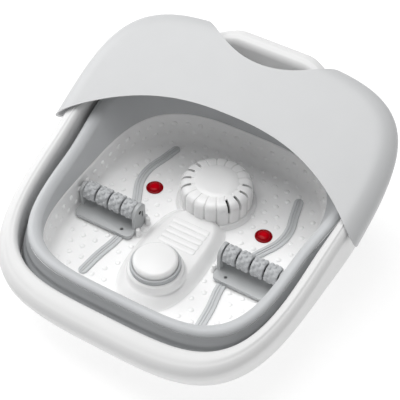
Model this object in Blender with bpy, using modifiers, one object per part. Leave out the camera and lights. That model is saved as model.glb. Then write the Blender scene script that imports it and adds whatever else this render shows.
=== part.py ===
"""Folding foot spa basin, in metres, +Z up.

The origin is on the ground under the middle of the basin, +Y points to the carry handle and +X to the
user's right-hand well. The rim stands in its low, folded place.
"""
import math

import bmesh
import bpy
from mathutils import Matrix, Vector

MM = 0.001
GAP = 0.3 * MM
STATIONS = 80

# Basin outline: every wall follows one rounded outline that narrows a little towards the front
TUB_HALF_WIDTH = 139 * MM
TUB_FRONT = 151 * MM
TUB_BACK = 140 * MM
CENTRE_Y = 5 * MM
TAPER = 0.25
COLLAR_FLARE = 14 * MM
COLLAR_FLARE_FRONT = 12 * MM
COLLAR_FLARE_BACK = 10 * MM
BACK_FLARE = 0.06
POCKET_SIDE = 13 * MM
POCKET_FRONT = 17 * MM
POCKET_BACK = 5.5 * MM
RIM_WIDTH = 19 * MM
RIM_WIDTH_FRONT = 28.5 * MM
RIM_WIDTH_BACK = 21 * MM

# Tub and bottom housing
FOOT_HEIGHT = 3 * MM
FLOOR = 40 * MM
WALL = 2.5 * MM
TUB_FILLET = 8 * MM
TUB_DRAFT = 1.5 * MM
TUB_DEPTH = 42 * MM
HOUSING_INSET = 15 * MM
HOUSING_TAPER = 5 * MM
FOOT_RADIUS = 9 * MM

# Collar and rim
COLLAR_HEIGHT = 78 * MM
COLLAR_SLOPE = 0.13
COLLAR_WALL = 3 * MM
LEG_LENGTH = 43 * MM
LEG_WALL = 2.2 * MM
CLAMP_HEIGHT = 5 * MM
SKIRT_CLEARANCE = 4 * MM
SKIRT_LEAN = 11 * MM
RIM_HEIGHT = 90 * MM
RIM_SLOPE = 0.24
RIM_WALL = 2.6 * MM
RIM_ROUND = 8 * MM
HANDLE_RISE = 10 * MM
HANDLE_REACH = 22 * MM
HANDLE_HALF = 42 * MM
HANDLE_RAMP = 66 * MM
LUG_WIDTH = 12 * MM
LUG_HEIGHT = 9 * MM

# Splash guard
GUARD_CLEARANCE = 9 * MM
GUARD_WALL = 2.5 * MM
GUARD_TAPER = 0.15
GUARD_OVER_RIM = 4 * MM
GUARD_HEIGHT = RIM_HEIGHT + GUARD_OVER_RIM
GUARD_SLOPE = 0.36
GUARD_SKIRT_DROP = 35 * MM
GUARD_SKIRT = RIM_HEIGHT - GUARD_SKIRT_DROP
GUARD_LEAN = 9 * MM
GUARD_EDGE_Y = 85 * MM
GUARD_EDGE_SWEEP = 102 * MM
GUARD_EDGE_POWER = 2.45
GUARD_EDGE_SHEAR = 0.84
NOTCH_Y = 154 * MM
NOTCH_DEPTH = 36 * MM
NOTCH_HALF = 90 * MM
NOTCH_SHEAR = 0.15

# Console between the feet
RIDGE_HALF_WIDTH = 43 * MM
RIDGE_FRONT = -122 * MM
RIDGE_BACK = 34 * MM
RIDGE_HEIGHT = 12 * MM
CAP_Y = 61 * MM
CAP_RADIUS = 44.5 * MM
CAP_HEIGHT = 31 * MM
CAP_LOBES = 18
CAP_SLOT = 2 * MM
PLINTH_HEIGHT = 5 * MM
BUTTON_Y = -76 * MM
BUTTON_RADIUS = 26 * MM
BUTTON_RISE = 10 * MM
BUTTON_TRAVEL = 3 * MM
PEDESTAL_HEIGHT = 10 * MM

# Massage wells: the pieces of the right well, mirrored to the left one
WELL_X = 75.5 * MM
LENS_Y = 41.5 * MM
LENS_RADIUS = 10.5 * MM
STRIP_WIDTH = 11.5 * MM
STRIP_HEIGHT = 2 * MM
ROLLER_X = 60 * MM
ROLLER_Y = -22 * MM
ROLLER_LIFT = 27 * MM
ROLLER_RADIUS = 11.8 * MM
ROLLER_LENGTH = 16.9 * MM
ROLLER_SPACE = 0.7 * MM
ROLLERS = 4
AXLE_RADIUS = 2.3 * MM
CHEEK = 4 * MM
CHEEK_RADIUS = 14 * MM
PLATE_THICKNESS = 4.4 * MM
PLATE_FRONT = 25 * MM
PLATE_BACK = 17 * MM

for old in list(bpy.data.objects):
    bpy.data.objects.remove(old, do_unlink=True)
PARTS = bpy.data.collections.new("foot_spa_basin")
CUTTERS = bpy.data.collections.new("cutters")
bpy.context.scene.collection.children.link(PARTS)
bpy.context.scene.collection.children.link(CUTTERS)

WHITE = ((0.90, 0.90, 0.90), 0.25, 0.0)
COOL_GREY = ((0.66, 0.69, 0.70), 0.35, 0.0)
SOFT_GREY = ((0.50, 0.52, 0.54), 0.55, 0.0)
ROLLER_GREY = ((0.46, 0.48, 0.49), 0.5, 0.0)
RED = ((0.45, 0.0, 0.02), 0.08, 0.0)
RUBBER = ((0.05, 0.05, 0.05), 0.8, 0.0)
STEEL = ((0.6, 0.6, 0.6), 0.3, 1.0)
BOARD = ((0.03, 0.18, 0.07), 0.5, 0.0)


def add(name, mesh, look, place=(0, 0, 0), turn=(0, 0, 0)):
    """Put a mesh in the parts collection as one named piece with its own material."""
    piece = bpy.data.objects.new(name, mesh)
    piece.location = place
    piece.rotation_euler = turn
    if look is None:
        piece.hide_render = True
        piece.display_type = "WIRE"
        CUTTERS.objects.link(piece)
        return piece
    colour, roughness, metallic = look
    material = bpy.data.materials.new(name)
    material.use_nodes = True
    shader = material.node_tree.nodes["Principled BSDF"]
    shader.inputs["Base Color"].default_value = (*colour, 1)
    shader.inputs["Roughness"].default_value = roughness
    shader.inputs["Metallic"].default_value = metallic
    mesh.materials.append(material)
    PARTS.objects.link(piece)
    return piece


def to_mesh(name, bm):
    """Turn the faces of a bmesh outwards and keep it as a mesh."""
    bmesh.ops.recalc_face_normals(bm, faces=bm.faces)
    mesh = bpy.data.meshes.new(name)
    bm.to_mesh(mesh)
    bm.free()
    mesh.shade_smooth()
    mesh.set_sharp_from_angle(angle=math.radians(35))
    return mesh


def loft(name, loops, ring=False):
    """Skin a row of equal loops: capped at both ends, or joined last to first as a ring."""
    bm = bmesh.new()
    rows = [[bm.verts.new(point) for point in loop] for loop in loops]
    pairs = list(zip(rows, rows[1:]))
    if ring:
        pairs.append((rows[-1], rows[0]))
    else:
        bm.faces.new(rows[0])
        bm.faces.new(rows[-1])
    for low, high in pairs:
        for here in range(len(low)):
            after = (here + 1) % len(low)
            bm.faces.new((low[here], low[after], high[after], high[here]))
    return to_mesh(name, bm)


def box(name, low, high):
    """A box between two corners."""
    bm = bmesh.new()
    size = [b - a for a, b in zip(low, high)]
    middle = Vector([(a + b) / 2 for a, b in zip(low, high)])
    bmesh.ops.create_cube(bm, size=1, matrix=Matrix.Translation(middle) @ Matrix.Diagonal((*size, 1)))
    return to_mesh(name, bm)


def drum(name, radius, low, high, x=0, y=0, top_radius=None, sides=24):
    """An upright cylinder or cone frustum between two heights."""
    bm = bmesh.new()
    top = radius if top_radius is None else top_radius
    middle = Matrix.Translation((x, y, (low + high) / 2))
    bmesh.ops.create_cone(bm, cap_ends=True, segments=sides, radius1=radius, radius2=top,
                          depth=high - low, matrix=middle)
    return to_mesh(name, bm)


def turned(name, profile, look, place=(0, 0, 0), turn=(0, 0, 0), closed=False, steps=32):
    """Turn a profile of (radius, height) points, listed down its outer side, about the piece's Z axis."""
    mesh = bpy.data.meshes.new(name)
    count = len(profile)
    edges = [(n, n + 1) for n in range(count - 1)]
    if closed:
        edges.append((count - 1, 0))
    mesh.from_pydata([(radius, 0, height) for radius, height in profile], edges, [])
    piece = add(name, mesh, look, place, turn)
    screw = piece.modifiers.new("Turn", "SCREW")
    screw.steps = steps
    screw.render_steps = steps
    screw.use_merge_vertices = True
    screw.merge_threshold = 0.00001
    screw.use_smooth_shade = False
    return piece


def combine(target, other, operation):
    """Cut another shape from a piece, or join it to the piece."""
    change = target.modifiers.new(operation.title(), "BOOLEAN")
    change.operation = operation
    change.solver = "EXACT"
    change.object = other


def outline_size(side, front, back, powers, taper=TAPER, flare=0.0, reach=0.0):
    """Half width, reach to the front and back, how square the corners are, then how the sides spread."""
    return side, front, back, *powers, taper, flare, reach


def spread(size, along):
    """Factor on the half width: a steady taper and a swelling of the back half."""
    return 1 + size[5] * along + size[6] * ease(0.3 + along / FLARE_LENGTH)


def outline(size, height, grow=0.0, count=STATIONS):
    """Points round the basin on one outline; height is a number or a function of x and y."""
    side, front, back, front_power, back_power = size[:5]
    points = []
    for step in range(count):
        angle = 2 * math.pi * step / count
        across, along = math.cos(angle), math.sin(angle)
        reach, power = (back, back_power) if along >= 0 else (front, front_power)
        wide = abs(across / (side + grow)) ** power
        deep = abs(along / (reach + grow)) ** power
        distance = (wide + deep) ** (-1 / power)
        x = distance * across * spread(size, distance * along)
        y = distance * along + CENTRE_Y + (size[7] * handle_share(x) if along > 0 else 0)
        z = height(x, y) if callable(height) else height
        points.append(Vector((x, y, z)))
    return points


def half_width_at(size, y, grow=0.0):
    """Half width of an outline at one y."""
    side, front, back, front_power, back_power = size[:5]
    along = y - CENTRE_Y
    reach, power = (back, back_power) if along >= 0 else (front, front_power)
    share = 1 - abs(along / (reach + grow)) ** power
    return (side + grow) * share ** (1 / power) * spread(size, along)


def ease(value):
    """Smooth step from 0 to 1."""
    value = min(max(value, 0), 1)
    return value * value * (3 - 2 * value)


def handle_share(x):
    """How much of the carry handle's extra reach and height the rim has at one x."""
    return ease((HANDLE_HALF + HANDLE_RAMP - abs(x)) / HANDLE_RAMP)


def collar_crest(x, y):
    return FLOOR + COLLAR_HEIGHT + COLLAR_SLOPE * y


def rim_plain(x, y):
    return FLOOR + RIM_HEIGHT + RIM_SLOPE * y


def rim_crest(x, y):
    """Top of the rim, with its extra height where it forms the carry handle."""
    return rim_plain(x, y) + HANDLE_RISE * handle_share(x) * ease(2 * y / RIM[2] - 1)


def guard_top(x, y):
    """Top of the splash guard: it slopes over the back half, and stays level where it is cut away."""
    return FLOOR + GUARD_HEIGHT + GUARD_SLOPE * max(y, 0)


def lowered(height, drop):
    """A height function moved down by a fixed drop."""
    return lambda x, y: height(x, y) - drop


FLARE_LENGTH = 0.85 * TUB_BACK
TUB_TOP = FLOOR + TUB_DEPTH
TUB = outline_size(TUB_HALF_WIDTH, TUB_FRONT, TUB_BACK, (4.2, 3.2), 0)
CREST = outline_size(TUB[0] + COLLAR_FLARE, TUB[1] + COLLAR_FLARE_FRONT, TUB[2] + COLLAR_FLARE_BACK, (4.2, 4.0),
                     flare=BACK_FLARE)
RIM_INNER = outline_size(CREST[0] + POCKET_SIDE, CREST[1] + POCKET_FRONT, CREST[2] + POCKET_BACK, (4.1, 4.2),
                         flare=0.4 * BACK_FLARE, reach=HANDLE_REACH)
RIM = outline_size(RIM_INNER[0] + RIM_WIDTH, RIM_INNER[1] + RIM_WIDTH_FRONT, RIM_INNER[2] + RIM_WIDTH_BACK,
                   (3.8, 4.2), reach=HANDLE_REACH)
GUARD = outline_size(*(value + GUARD_CLEARANCE + GUARD_WALL for value in RIM[:3]), (3.8, 4.0), GUARD_TAPER)


def tub_profile(wall):
    """Insets and heights up the inside of the tub, or its outside when a wall is added."""
    steps = []
    for turn in (0, 30, 60, 90):
        swing = math.radians(turn)
        inset = (TUB_FILLET + wall) * (1 - math.sin(swing))
        rise = (TUB_FILLET + wall) * (1 - math.cos(swing)) - wall
        steps.append((wall - TUB_DRAFT - inset, FLOOR + rise))
    return steps


def make_tub():
    """White massage tub: a shallow pan with a rounded corner between floor and wall."""
    outside = [outline(TUB, height, grow) for grow, height in tub_profile(WALL)]
    inside = [outline(TUB, height, grow) for grow, height in tub_profile(0)]
    rims = [outline(TUB, TUB_TOP, WALL), outline(TUB, TUB_TOP)]
    tub = add("massage_tub", loft("massage_tub", outside + rims + inside[::-1]), WHITE)
    for side in (-1, 1):
        hole = drum("lens_hole", LENS_RADIUS - 3 * MM, FLOOR - 2 * WALL, FLOOR + WALL, side * WELL_X, LENS_Y)
        combine(tub, add("lens_hole", hole, None), "DIFFERENCE")


def make_housing():
    """Bottom housing under the tub, with its rubber feet and what it holds."""
    top = FLOOR - WALL - GAP
    low_inset = HOUSING_INSET + HOUSING_TAPER
    loops = [outline(TUB, FOOT_HEIGHT, -low_inset), outline(TUB, top, -HOUSING_INSET),
             outline(TUB, top, -HOUSING_INSET - WALL), outline(TUB, FOOT_HEIGHT + WALL, -low_inset - WALL)]
    add("bottom_housing", loft("bottom_housing", loops), WHITE)
    foot_x = TUB_HALF_WIDTH - low_inset - 2.6 * FOOT_RADIUS
    corners = [(side * foot_x, y) for y in (CENTRE_Y - 0.62 * TUB_FRONT, CENTRE_Y + 0.62 * TUB_BACK)
               for side in (-1, 1)]
    for number, (x, y) in enumerate(corners, 1):
        name = f"rubber_foot_{number}"
        add(name, drum(name, FOOT_RADIUS - 1 * MM, 0, FOOT_HEIGHT - GAP, x, y, FOOT_RADIUS), RUBBER)

    inside = FOOT_HEIGHT + WALL + GAP
    ceiling = FLOOR - WALL - GAP
    plate = box("heating_plate", (-35 * MM, 8 * MM, ceiling - 5 * MM), (35 * MM, 78 * MM, ceiling))
    add("heating_plate", plate, STEEL)
    add("air_pump", box("air_pump", (-34 * MM, -62 * MM, inside), (34 * MM, -2 * MM, inside + 26 * MM)), SOFT_GREY)
    add("control_board", box("control_board", (-40 * MM, 30 * MM, inside), (40 * MM, 84 * MM, inside + 1.6 * MM)),
        BOARD)
    back = CENTRE_Y + TUB_BACK - HOUSING_INSET - 0.27 * HOUSING_TAPER
    add("power_inlet", drum("power_inlet", 8 * MM, GAP, 9 * MM, top_radius=6 * MM), SOFT_GREY,
        (0, back, FLOOR / 2), (math.radians(-90), 0, 0))


def make_collar():
    """Soft folding collar: the sloping band stays on the tub, the outer leg hangs down to the rim."""
    band = [outline(TUB, TUB_TOP + GAP),
            outline(CREST, lowered(collar_crest, 8 * MM), -5 * MM),
            outline(CREST, lowered(collar_crest, 1.5 * MM), -2 * MM),
            outline(CREST, collar_crest, 0),
            outline(CREST, lowered(collar_crest, 1.5 * MM), 2.4 * MM),
            outline(CREST, lowered(collar_crest, 6 * MM), COLLAR_WALL),
            outline(CREST, lowered(collar_crest, 11 * MM), -1 * MM),
            outline(TUB, TUB_TOP + GAP, COLLAR_WALL)]
    add("collar_band", loft("collar_band", band, ring=True), SOFT_GREY)

    inner = COLLAR_WALL + GAP
    hem = -LEG_WALL - GAP
    leg = [outline(CREST, lowered(collar_crest, 2 * MM), inner),
           outline(CREST, lowered(collar_crest, 10 * MM), inner),
           outline(RIM_INNER, lowered(collar_crest, LEG_LENGTH - 8 * MM), hem - 0.6 * MM),
           outline(RIM_INNER, lowered(collar_crest, LEG_LENGTH), hem),
           outline(RIM_INNER, lowered(collar_crest, LEG_LENGTH), hem + LEG_WALL),
           outline(RIM_INNER, lowered(collar_crest, LEG_LENGTH - 8 * MM), hem + LEG_WALL - 0.6 * MM),
           outline(CREST, lowered(collar_crest, 10 * MM), inner + LEG_WALL),
           outline(CREST, lowered(collar_crest, 2 * MM), inner + LEG_WALL)]
    add("collar_leg", loft("collar_leg", leg, ring=True), SOFT_GREY)


def make_rim():
    """White rim frame: a channel open below, high and narrow at the back where it is the carry handle."""
    skirt = FLOOR + SKIRT_CLEARANCE
    crest = rim_crest
    round_off = RIM_ROUND
    loops = [outline(RIM, skirt, -SKIRT_LEAN),
             outline(RIM, lowered(crest, 2 * round_off), -1 * MM),
             outline(RIM, lowered(crest, round_off)),
             outline(RIM, lowered(crest, 0.3 * round_off), -0.3 * round_off),
             outline(RIM, crest, -round_off),
             outline(RIM_INNER, crest, 0.8 * round_off),
             outline(RIM_INNER, lowered(crest, 0.3 * round_off), 0.25 * round_off),
             outline(RIM_INNER, lowered(crest, round_off)),
             outline(RIM_INNER, lowered(collar_crest, LEG_LENGTH)),
             outline(RIM_INNER, lowered(collar_crest, LEG_LENGTH), RIM_WALL),
             outline(RIM_INNER, lowered(crest, round_off + RIM_WALL), RIM_WALL),
             outline(RIM_INNER, lowered(crest, RIM_WALL), round_off),
             outline(RIM, lowered(crest, RIM_WALL), -round_off - 1 * MM),
             outline(RIM, lowered(crest, round_off + RIM_WALL), -RIM_WALL),
             outline(RIM, lowered(crest, 2 * round_off + RIM_WALL), -RIM_WALL - 1 * MM),
             outline(RIM, skirt, -SKIRT_LEAN - RIM_WALL)]
    add("rim_frame", loft("rim_frame", loops, ring=True), WHITE)

    top = lowered(collar_crest, LEG_LENGTH + GAP)
    bottom = lowered(collar_crest, LEG_LENGTH + CLAMP_HEIGHT)
    inset = -LEG_WALL - GAP
    clamp = [outline(RIM_INNER, bottom, inset), outline(RIM_INNER, top, inset),
             outline(RIM_INNER, top, RIM_WALL), outline(RIM_INNER, bottom, RIM_WALL)]
    add("collar_clamp", loft("collar_clamp", clamp, ring=True), WHITE)

    tilt = math.atan(COLLAR_SLOPE)
    back = CENTRE_Y + RIM_INNER[2] + HANDLE_REACH * handle_share(0)
    seats = [(0, CENTRE_Y - RIM_INNER[1]), (half_width_at(RIM_INNER, 0), 0),
             (0, back), (-half_width_at(RIM_INNER, 0), 0)]
    for number, (x, y) in enumerate(seats, 1):
        name = f"clamp_screw_{number}"
        high = bottom(x, y) - 2 * GAP
        screw = drum(name, 3 * MM, -2 * MM, 0, sides=16)
        add(name, screw, STEEL, (x, y, high), (tilt, 0, 0))


def make_rest_lugs():
    """Lugs on the outside of the tub wall that the lowered rim rests on."""
    reach = 4 * MM
    inset = LEG_WALL + GAP
    front = CENTRE_Y - TUB_FRONT - WALL - GAP
    lug_x = 0.3 * TUB_HALF_WIDTH
    lug_y = 2 * LUG_WIDTH
    side = half_width_at(TUB, lug_y + LUG_WIDTH / 2, WALL) + GAP
    clamp_side = half_width_at(RIM_INNER, lug_y, -inset)
    clamp_front = CENTRE_Y - RIM_INNER[1] + inset - reach
    spans = [((-lug_x, front), (-lug_x, clamp_front)),
             ((lug_x, front), (lug_x, clamp_front)),
             ((side, lug_y), (clamp_side + reach, lug_y)),
             ((-side, lug_y), (-clamp_side - reach, lug_y))]
    for number, ((x0, y0), (x1, y1)) in enumerate(spans, 1):
        name = f"rest_lug_{number}"
        middle = ((x0 + x1) / 2, (y0 + y1) / 2)
        long_x = abs(x1 - x0) / 2 or LUG_WIDTH / 2
        long_y = abs(y1 - y0) / 2 or LUG_WIDTH / 2
        top = collar_crest(*middle) - LEG_LENGTH - CLAMP_HEIGHT - GAP
        mesh = box(name, (-long_x, -long_y, -LUG_HEIGHT), (long_x, long_y, 0))
        for corner in mesh.vertices:
            corner.co.z += COLLAR_SLOPE * corner.co.y
        add(name, mesh, WHITE, (*middle, top))


def make_guard():
    """Splash guard: a domed hood over the back half, cut to a sweeping front edge and a handle notch."""
    def top(drop):
        return lowered(guard_top, drop)

    skirt = FLOOR + GUARD_SKIRT
    wall = GUARD_WALL
    outer = [outline(GUARD, skirt, -GUARD_LEAN), outline(GUARD, top(28 * MM), -0.5 * MM),
             outline(GUARD, top(19 * MM)), outline(GUARD, top(9 * MM), -4 * MM),
             outline(GUARD, top(2.5 * MM), -12 * MM), outline(GUARD, guard_top, -24 * MM),
             outline(GUARD, guard_top, -0.62 * GUARD[0])]
    inner = [outline(GUARD, skirt, -GUARD_LEAN - wall), outline(GUARD, top(28 * MM), -0.5 * MM - wall),
             outline(GUARD, top(19 * MM + wall / 2), -wall), outline(GUARD, top(9 * MM + wall), -4 * MM - wall / 1.4),
             outline(GUARD, top(2.5 * MM + wall), -12 * MM - wall / 2), outline(GUARD, top(wall), -24 * MM),
             outline(GUARD, top(wall), -0.62 * GUARD[0])]
    guard = add("splash_guard", loft("splash_guard", inner[::-1] + outer), COOL_GREY)

    reach = GUARD[0] + 40 * MM
    edge = []
    for step in range(41):
        x = reach * (step / 20 - 1)
        edge.append((x, GUARD_EDGE_Y - GUARD_EDGE_SWEEP * abs(x / (RIM[0] + 10 * MM)) ** GUARD_EDGE_POWER))
    plan = edge + [(reach, -RIM[1] - reach), (-reach, -RIM[1] - reach)]
    level = guard_top(0, GUARD_EDGE_Y)
    cuts = [[Vector((x, y + GUARD_EDGE_SHEAR * (level - height), height)) for x, y in plan]
            for height in (skirt - 30 * MM, level + 90 * MM)]
    combine(guard, add("guard_front_cut", loft("guard_front_cut", cuts), None), "DIFFERENCE")

    notch = []
    for step in range(21):
        x = NOTCH_HALF * (step / 10 - 1)
        notch.append((x, NOTCH_Y + NOTCH_DEPTH * (x / NOTCH_HALF) ** 2))
    plan = notch + [(NOTCH_HALF, GUARD[2] + reach), (-NOTCH_HALF, GUARD[2] + reach)]
    level = guard_top(0, NOTCH_Y)
    cuts = [[Vector((x, y + NOTCH_SHEAR * (height - level), height)) for x, y in plan]
            for height in (skirt - 30 * MM, level + 60 * MM)]
    combine(guard, add("handle_notch_cut", loft("handle_notch_cut", cuts), None), "DIFFERENCE")

    half = 4 * MM
    number = 0
    for y in (CENTRE_Y + 0.3 * RIM[2], CENTRE_Y + 0.62 * RIM[2]):
        x = half_width_at(RIM_INNER, y) + 0.4 * RIM_WIDTH
        for side in (-1, 1):
            number += 1
            name = f"guard_rib_{number}"
            low = rim_plain(0, y + half) + GAP
            high = guard_top(0, y - half) - wall - 2.4 * MM
            add(name, box(name, (side * x - half, y - half, low), (side * x + half, y + half, high)), COOL_GREY)


def make_console():
    """Raised ridge between the feet, with the filter cap and the function button."""
    reach = (RIDGE_BACK - RIDGE_FRONT) / 2
    middle = (RIDGE_BACK + RIDGE_FRONT) / 2
    loops = []
    for inset, rise in ((0, GAP / RIDGE_HEIGHT), (2 * MM, 0.5), (4 * MM, 0.85), (8 * MM, 1)):
        loop = []
        for step in range(48):
            angle = 2 * math.pi * step / 48
            across, along = math.cos(angle), math.sin(angle)
            share = (abs(across / (RIDGE_HALF_WIDTH - inset)) ** 3 + abs(along / (reach - inset)) ** 3) ** (-1 / 3)
            loop.append(Vector((share * across, middle + share * along, FLOOR + RIDGE_HEIGHT * rise)))
        loops.append(loop)
    ridge = add("console_ridge", loft("console_ridge", loops), WHITE)
    plinth_radius = CAP_RADIUS + 3 * MM
    clear = drum("cap_clearance", plinth_radius + 1 * MM, FLOOR - 5 * MM, FLOOR + 2 * CAP_HEIGHT, 0, CAP_Y, sides=48)
    combine(ridge, add("cap_clearance", clear, None), "DIFFERENCE")

    base = FLOOR + PLINTH_HEIGHT
    plinth = drum("filter_plinth", plinth_radius, FLOOR + GAP, base, 0, CAP_Y, plinth_radius - 1 * MM, 48)
    add("filter_plinth", plinth, WHITE)
    basket = drum("filter_basket", CAP_RADIUS - 14 * MM, base + GAP, base + 0.55 * CAP_HEIGHT, 0, CAP_Y, sides=32)
    add("filter_basket", basket, SOFT_GREY)

    def ring(radius, height, lobes=0.0):
        points = []
        for step in range(CAP_LOBES * 4):
            angle = 2 * math.pi * step / (CAP_LOBES * 4)
            swell = radius - lobes * (0.5 + 0.5 * math.cos(CAP_LOBES * angle))
            points.append(Vector((swell * math.cos(angle), swell * math.sin(angle), height)))
        return points

    radius = CAP_RADIUS
    wall = WALL
    tall = CAP_HEIGHT
    loops = [ring(radius, 0, 1.2 * MM), ring(radius, tall - 9 * MM, 1.2 * MM),
             ring(radius - 2.5 * MM, tall - 4 * MM, 1 * MM), ring(radius - 8 * MM, tall - 0.6 * MM, 0.4 * MM),
             ring(radius - 18 * MM, tall),
             ring(radius - 18 * MM, tall - wall), ring(radius - 9 * MM, tall - 0.6 * MM - wall),
             ring(radius - 5 * MM - wall, tall - 4 * MM - wall), ring(radius - 2 * wall, tall - 10 * MM),
             ring(radius - 2 * wall, 0)]
    loops = loops[5:] + loops[:5]
    cap = add("filter_cap", loft("filter_cap", loops), WHITE, (0, CAP_Y, base + GAP))
    bm = bmesh.new()
    for number in range(CAP_LOBES):
        spin = Matrix.Rotation(2 * math.pi * number / CAP_LOBES, 4, "Z")
        span = 16 * MM
        place = Matrix.Translation((radius - 12 * MM + span / 2, 0, tall))
        size = Matrix.Diagonal((span, CAP_SLOT, 30 * MM, 1))
        bmesh.ops.create_cube(bm, size=1, matrix=spin @ place @ size)
    combine(cap, add("cap_slots", to_mesh("cap_slots", bm), None, cap.location), "DIFFERENCE")

    deck = FLOOR + RIDGE_HEIGHT + GAP
    step_radius = BUTTON_RADIUS + 8 * MM
    bore = 5 * MM
    height = PEDESTAL_HEIGHT
    pedestal = [(bore, height), (step_radius - 5 * MM, height), (step_radius - 3 * MM, height - 2 * MM),
                (step_radius - 1.5 * MM, 4 * MM), (step_radius, 0), (bore, 0)]
    turned("button_pedestal", pedestal, WHITE, (0, BUTTON_Y, deck), closed=True)
    seal_low = deck + height + GAP
    seal_wall = 2.6 * MM
    hole = BUTTON_RADIUS + 2 * GAP
    seal = [(hole, 6 * MM), (hole + seal_wall - 1 * MM, 6 * MM), (hole + seal_wall, 5 * MM), (hole + seal_wall, 0),
            (hole, 0)]
    turned("button_seal", seal, SOFT_GREY, (0, BUTTON_Y, seal_low), closed=True)
    lift = BUTTON_TRAVEL + 1 * MM
    top = lift + BUTTON_RISE
    stem = 4 * MM
    button = [(0, top), (BUTTON_RADIUS - 5 * MM, top - 0.6 * MM), (BUTTON_RADIUS - 1.5 * MM, top - 2.5 * MM),
              (BUTTON_RADIUS, top - 5.5 * MM), (BUTTON_RADIUS, lift), (stem, lift), (stem, -4 * MM), (0, -4 * MM)]
    turned("function_button", button, WHITE, (0, BUTTON_Y, deck + height))
    switch = drum("button_switch", stem, deck, deck + height - 4 * MM - BUTTON_TRAVEL - GAP, 0, BUTTON_Y, sides=16)
    add("button_switch", switch, RUBBER)


def strip_outline(side):
    """Plan outline of a bubble strip: an S-shaped band with round ends."""
    nodes = [(87, 109), (92, 88), (98, 64), (96, 40), (83, 12), (71, -18), (70, -52), (75, -82), (77.5, -109)]
    nodes = [Vector((side * x * MM, y * MM, 0)) for x, y in nodes]
    nodes = [2 * nodes[0] - nodes[1]] + nodes + [2 * nodes[-1] - nodes[-2]]
    path = []
    for a, b, c, d in zip(nodes, nodes[1:], nodes[2:], nodes[3:]):
        for step in range(4):
            t = step / 4
            path.append(0.5 * (2 * b + (c - a) * t + (2 * a - 5 * b + 4 * c - d) * t ** 2
                               + (3 * b - a - 3 * c + d) * t ** 3))
    path.append(nodes[-2])
    left, right = [], []
    half = STRIP_WIDTH / 2
    for n, point in enumerate(path):
        ahead = (path[min(n + 1, len(path) - 1)] - path[max(n - 1, 0)]).normalized()
        across = Vector((-ahead.y, ahead.x, 0)) * half
        left.append(point + across)
        right.append(point - across)

    def cap(centre, start):
        return [centre + Matrix.Rotation(-math.radians(turn), 3, "Z") @ (start - centre) for turn in (45, 90, 135)]

    return left + cap(path[-1], left[-1]) + right[::-1] + cap(path[0], right[0])


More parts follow.
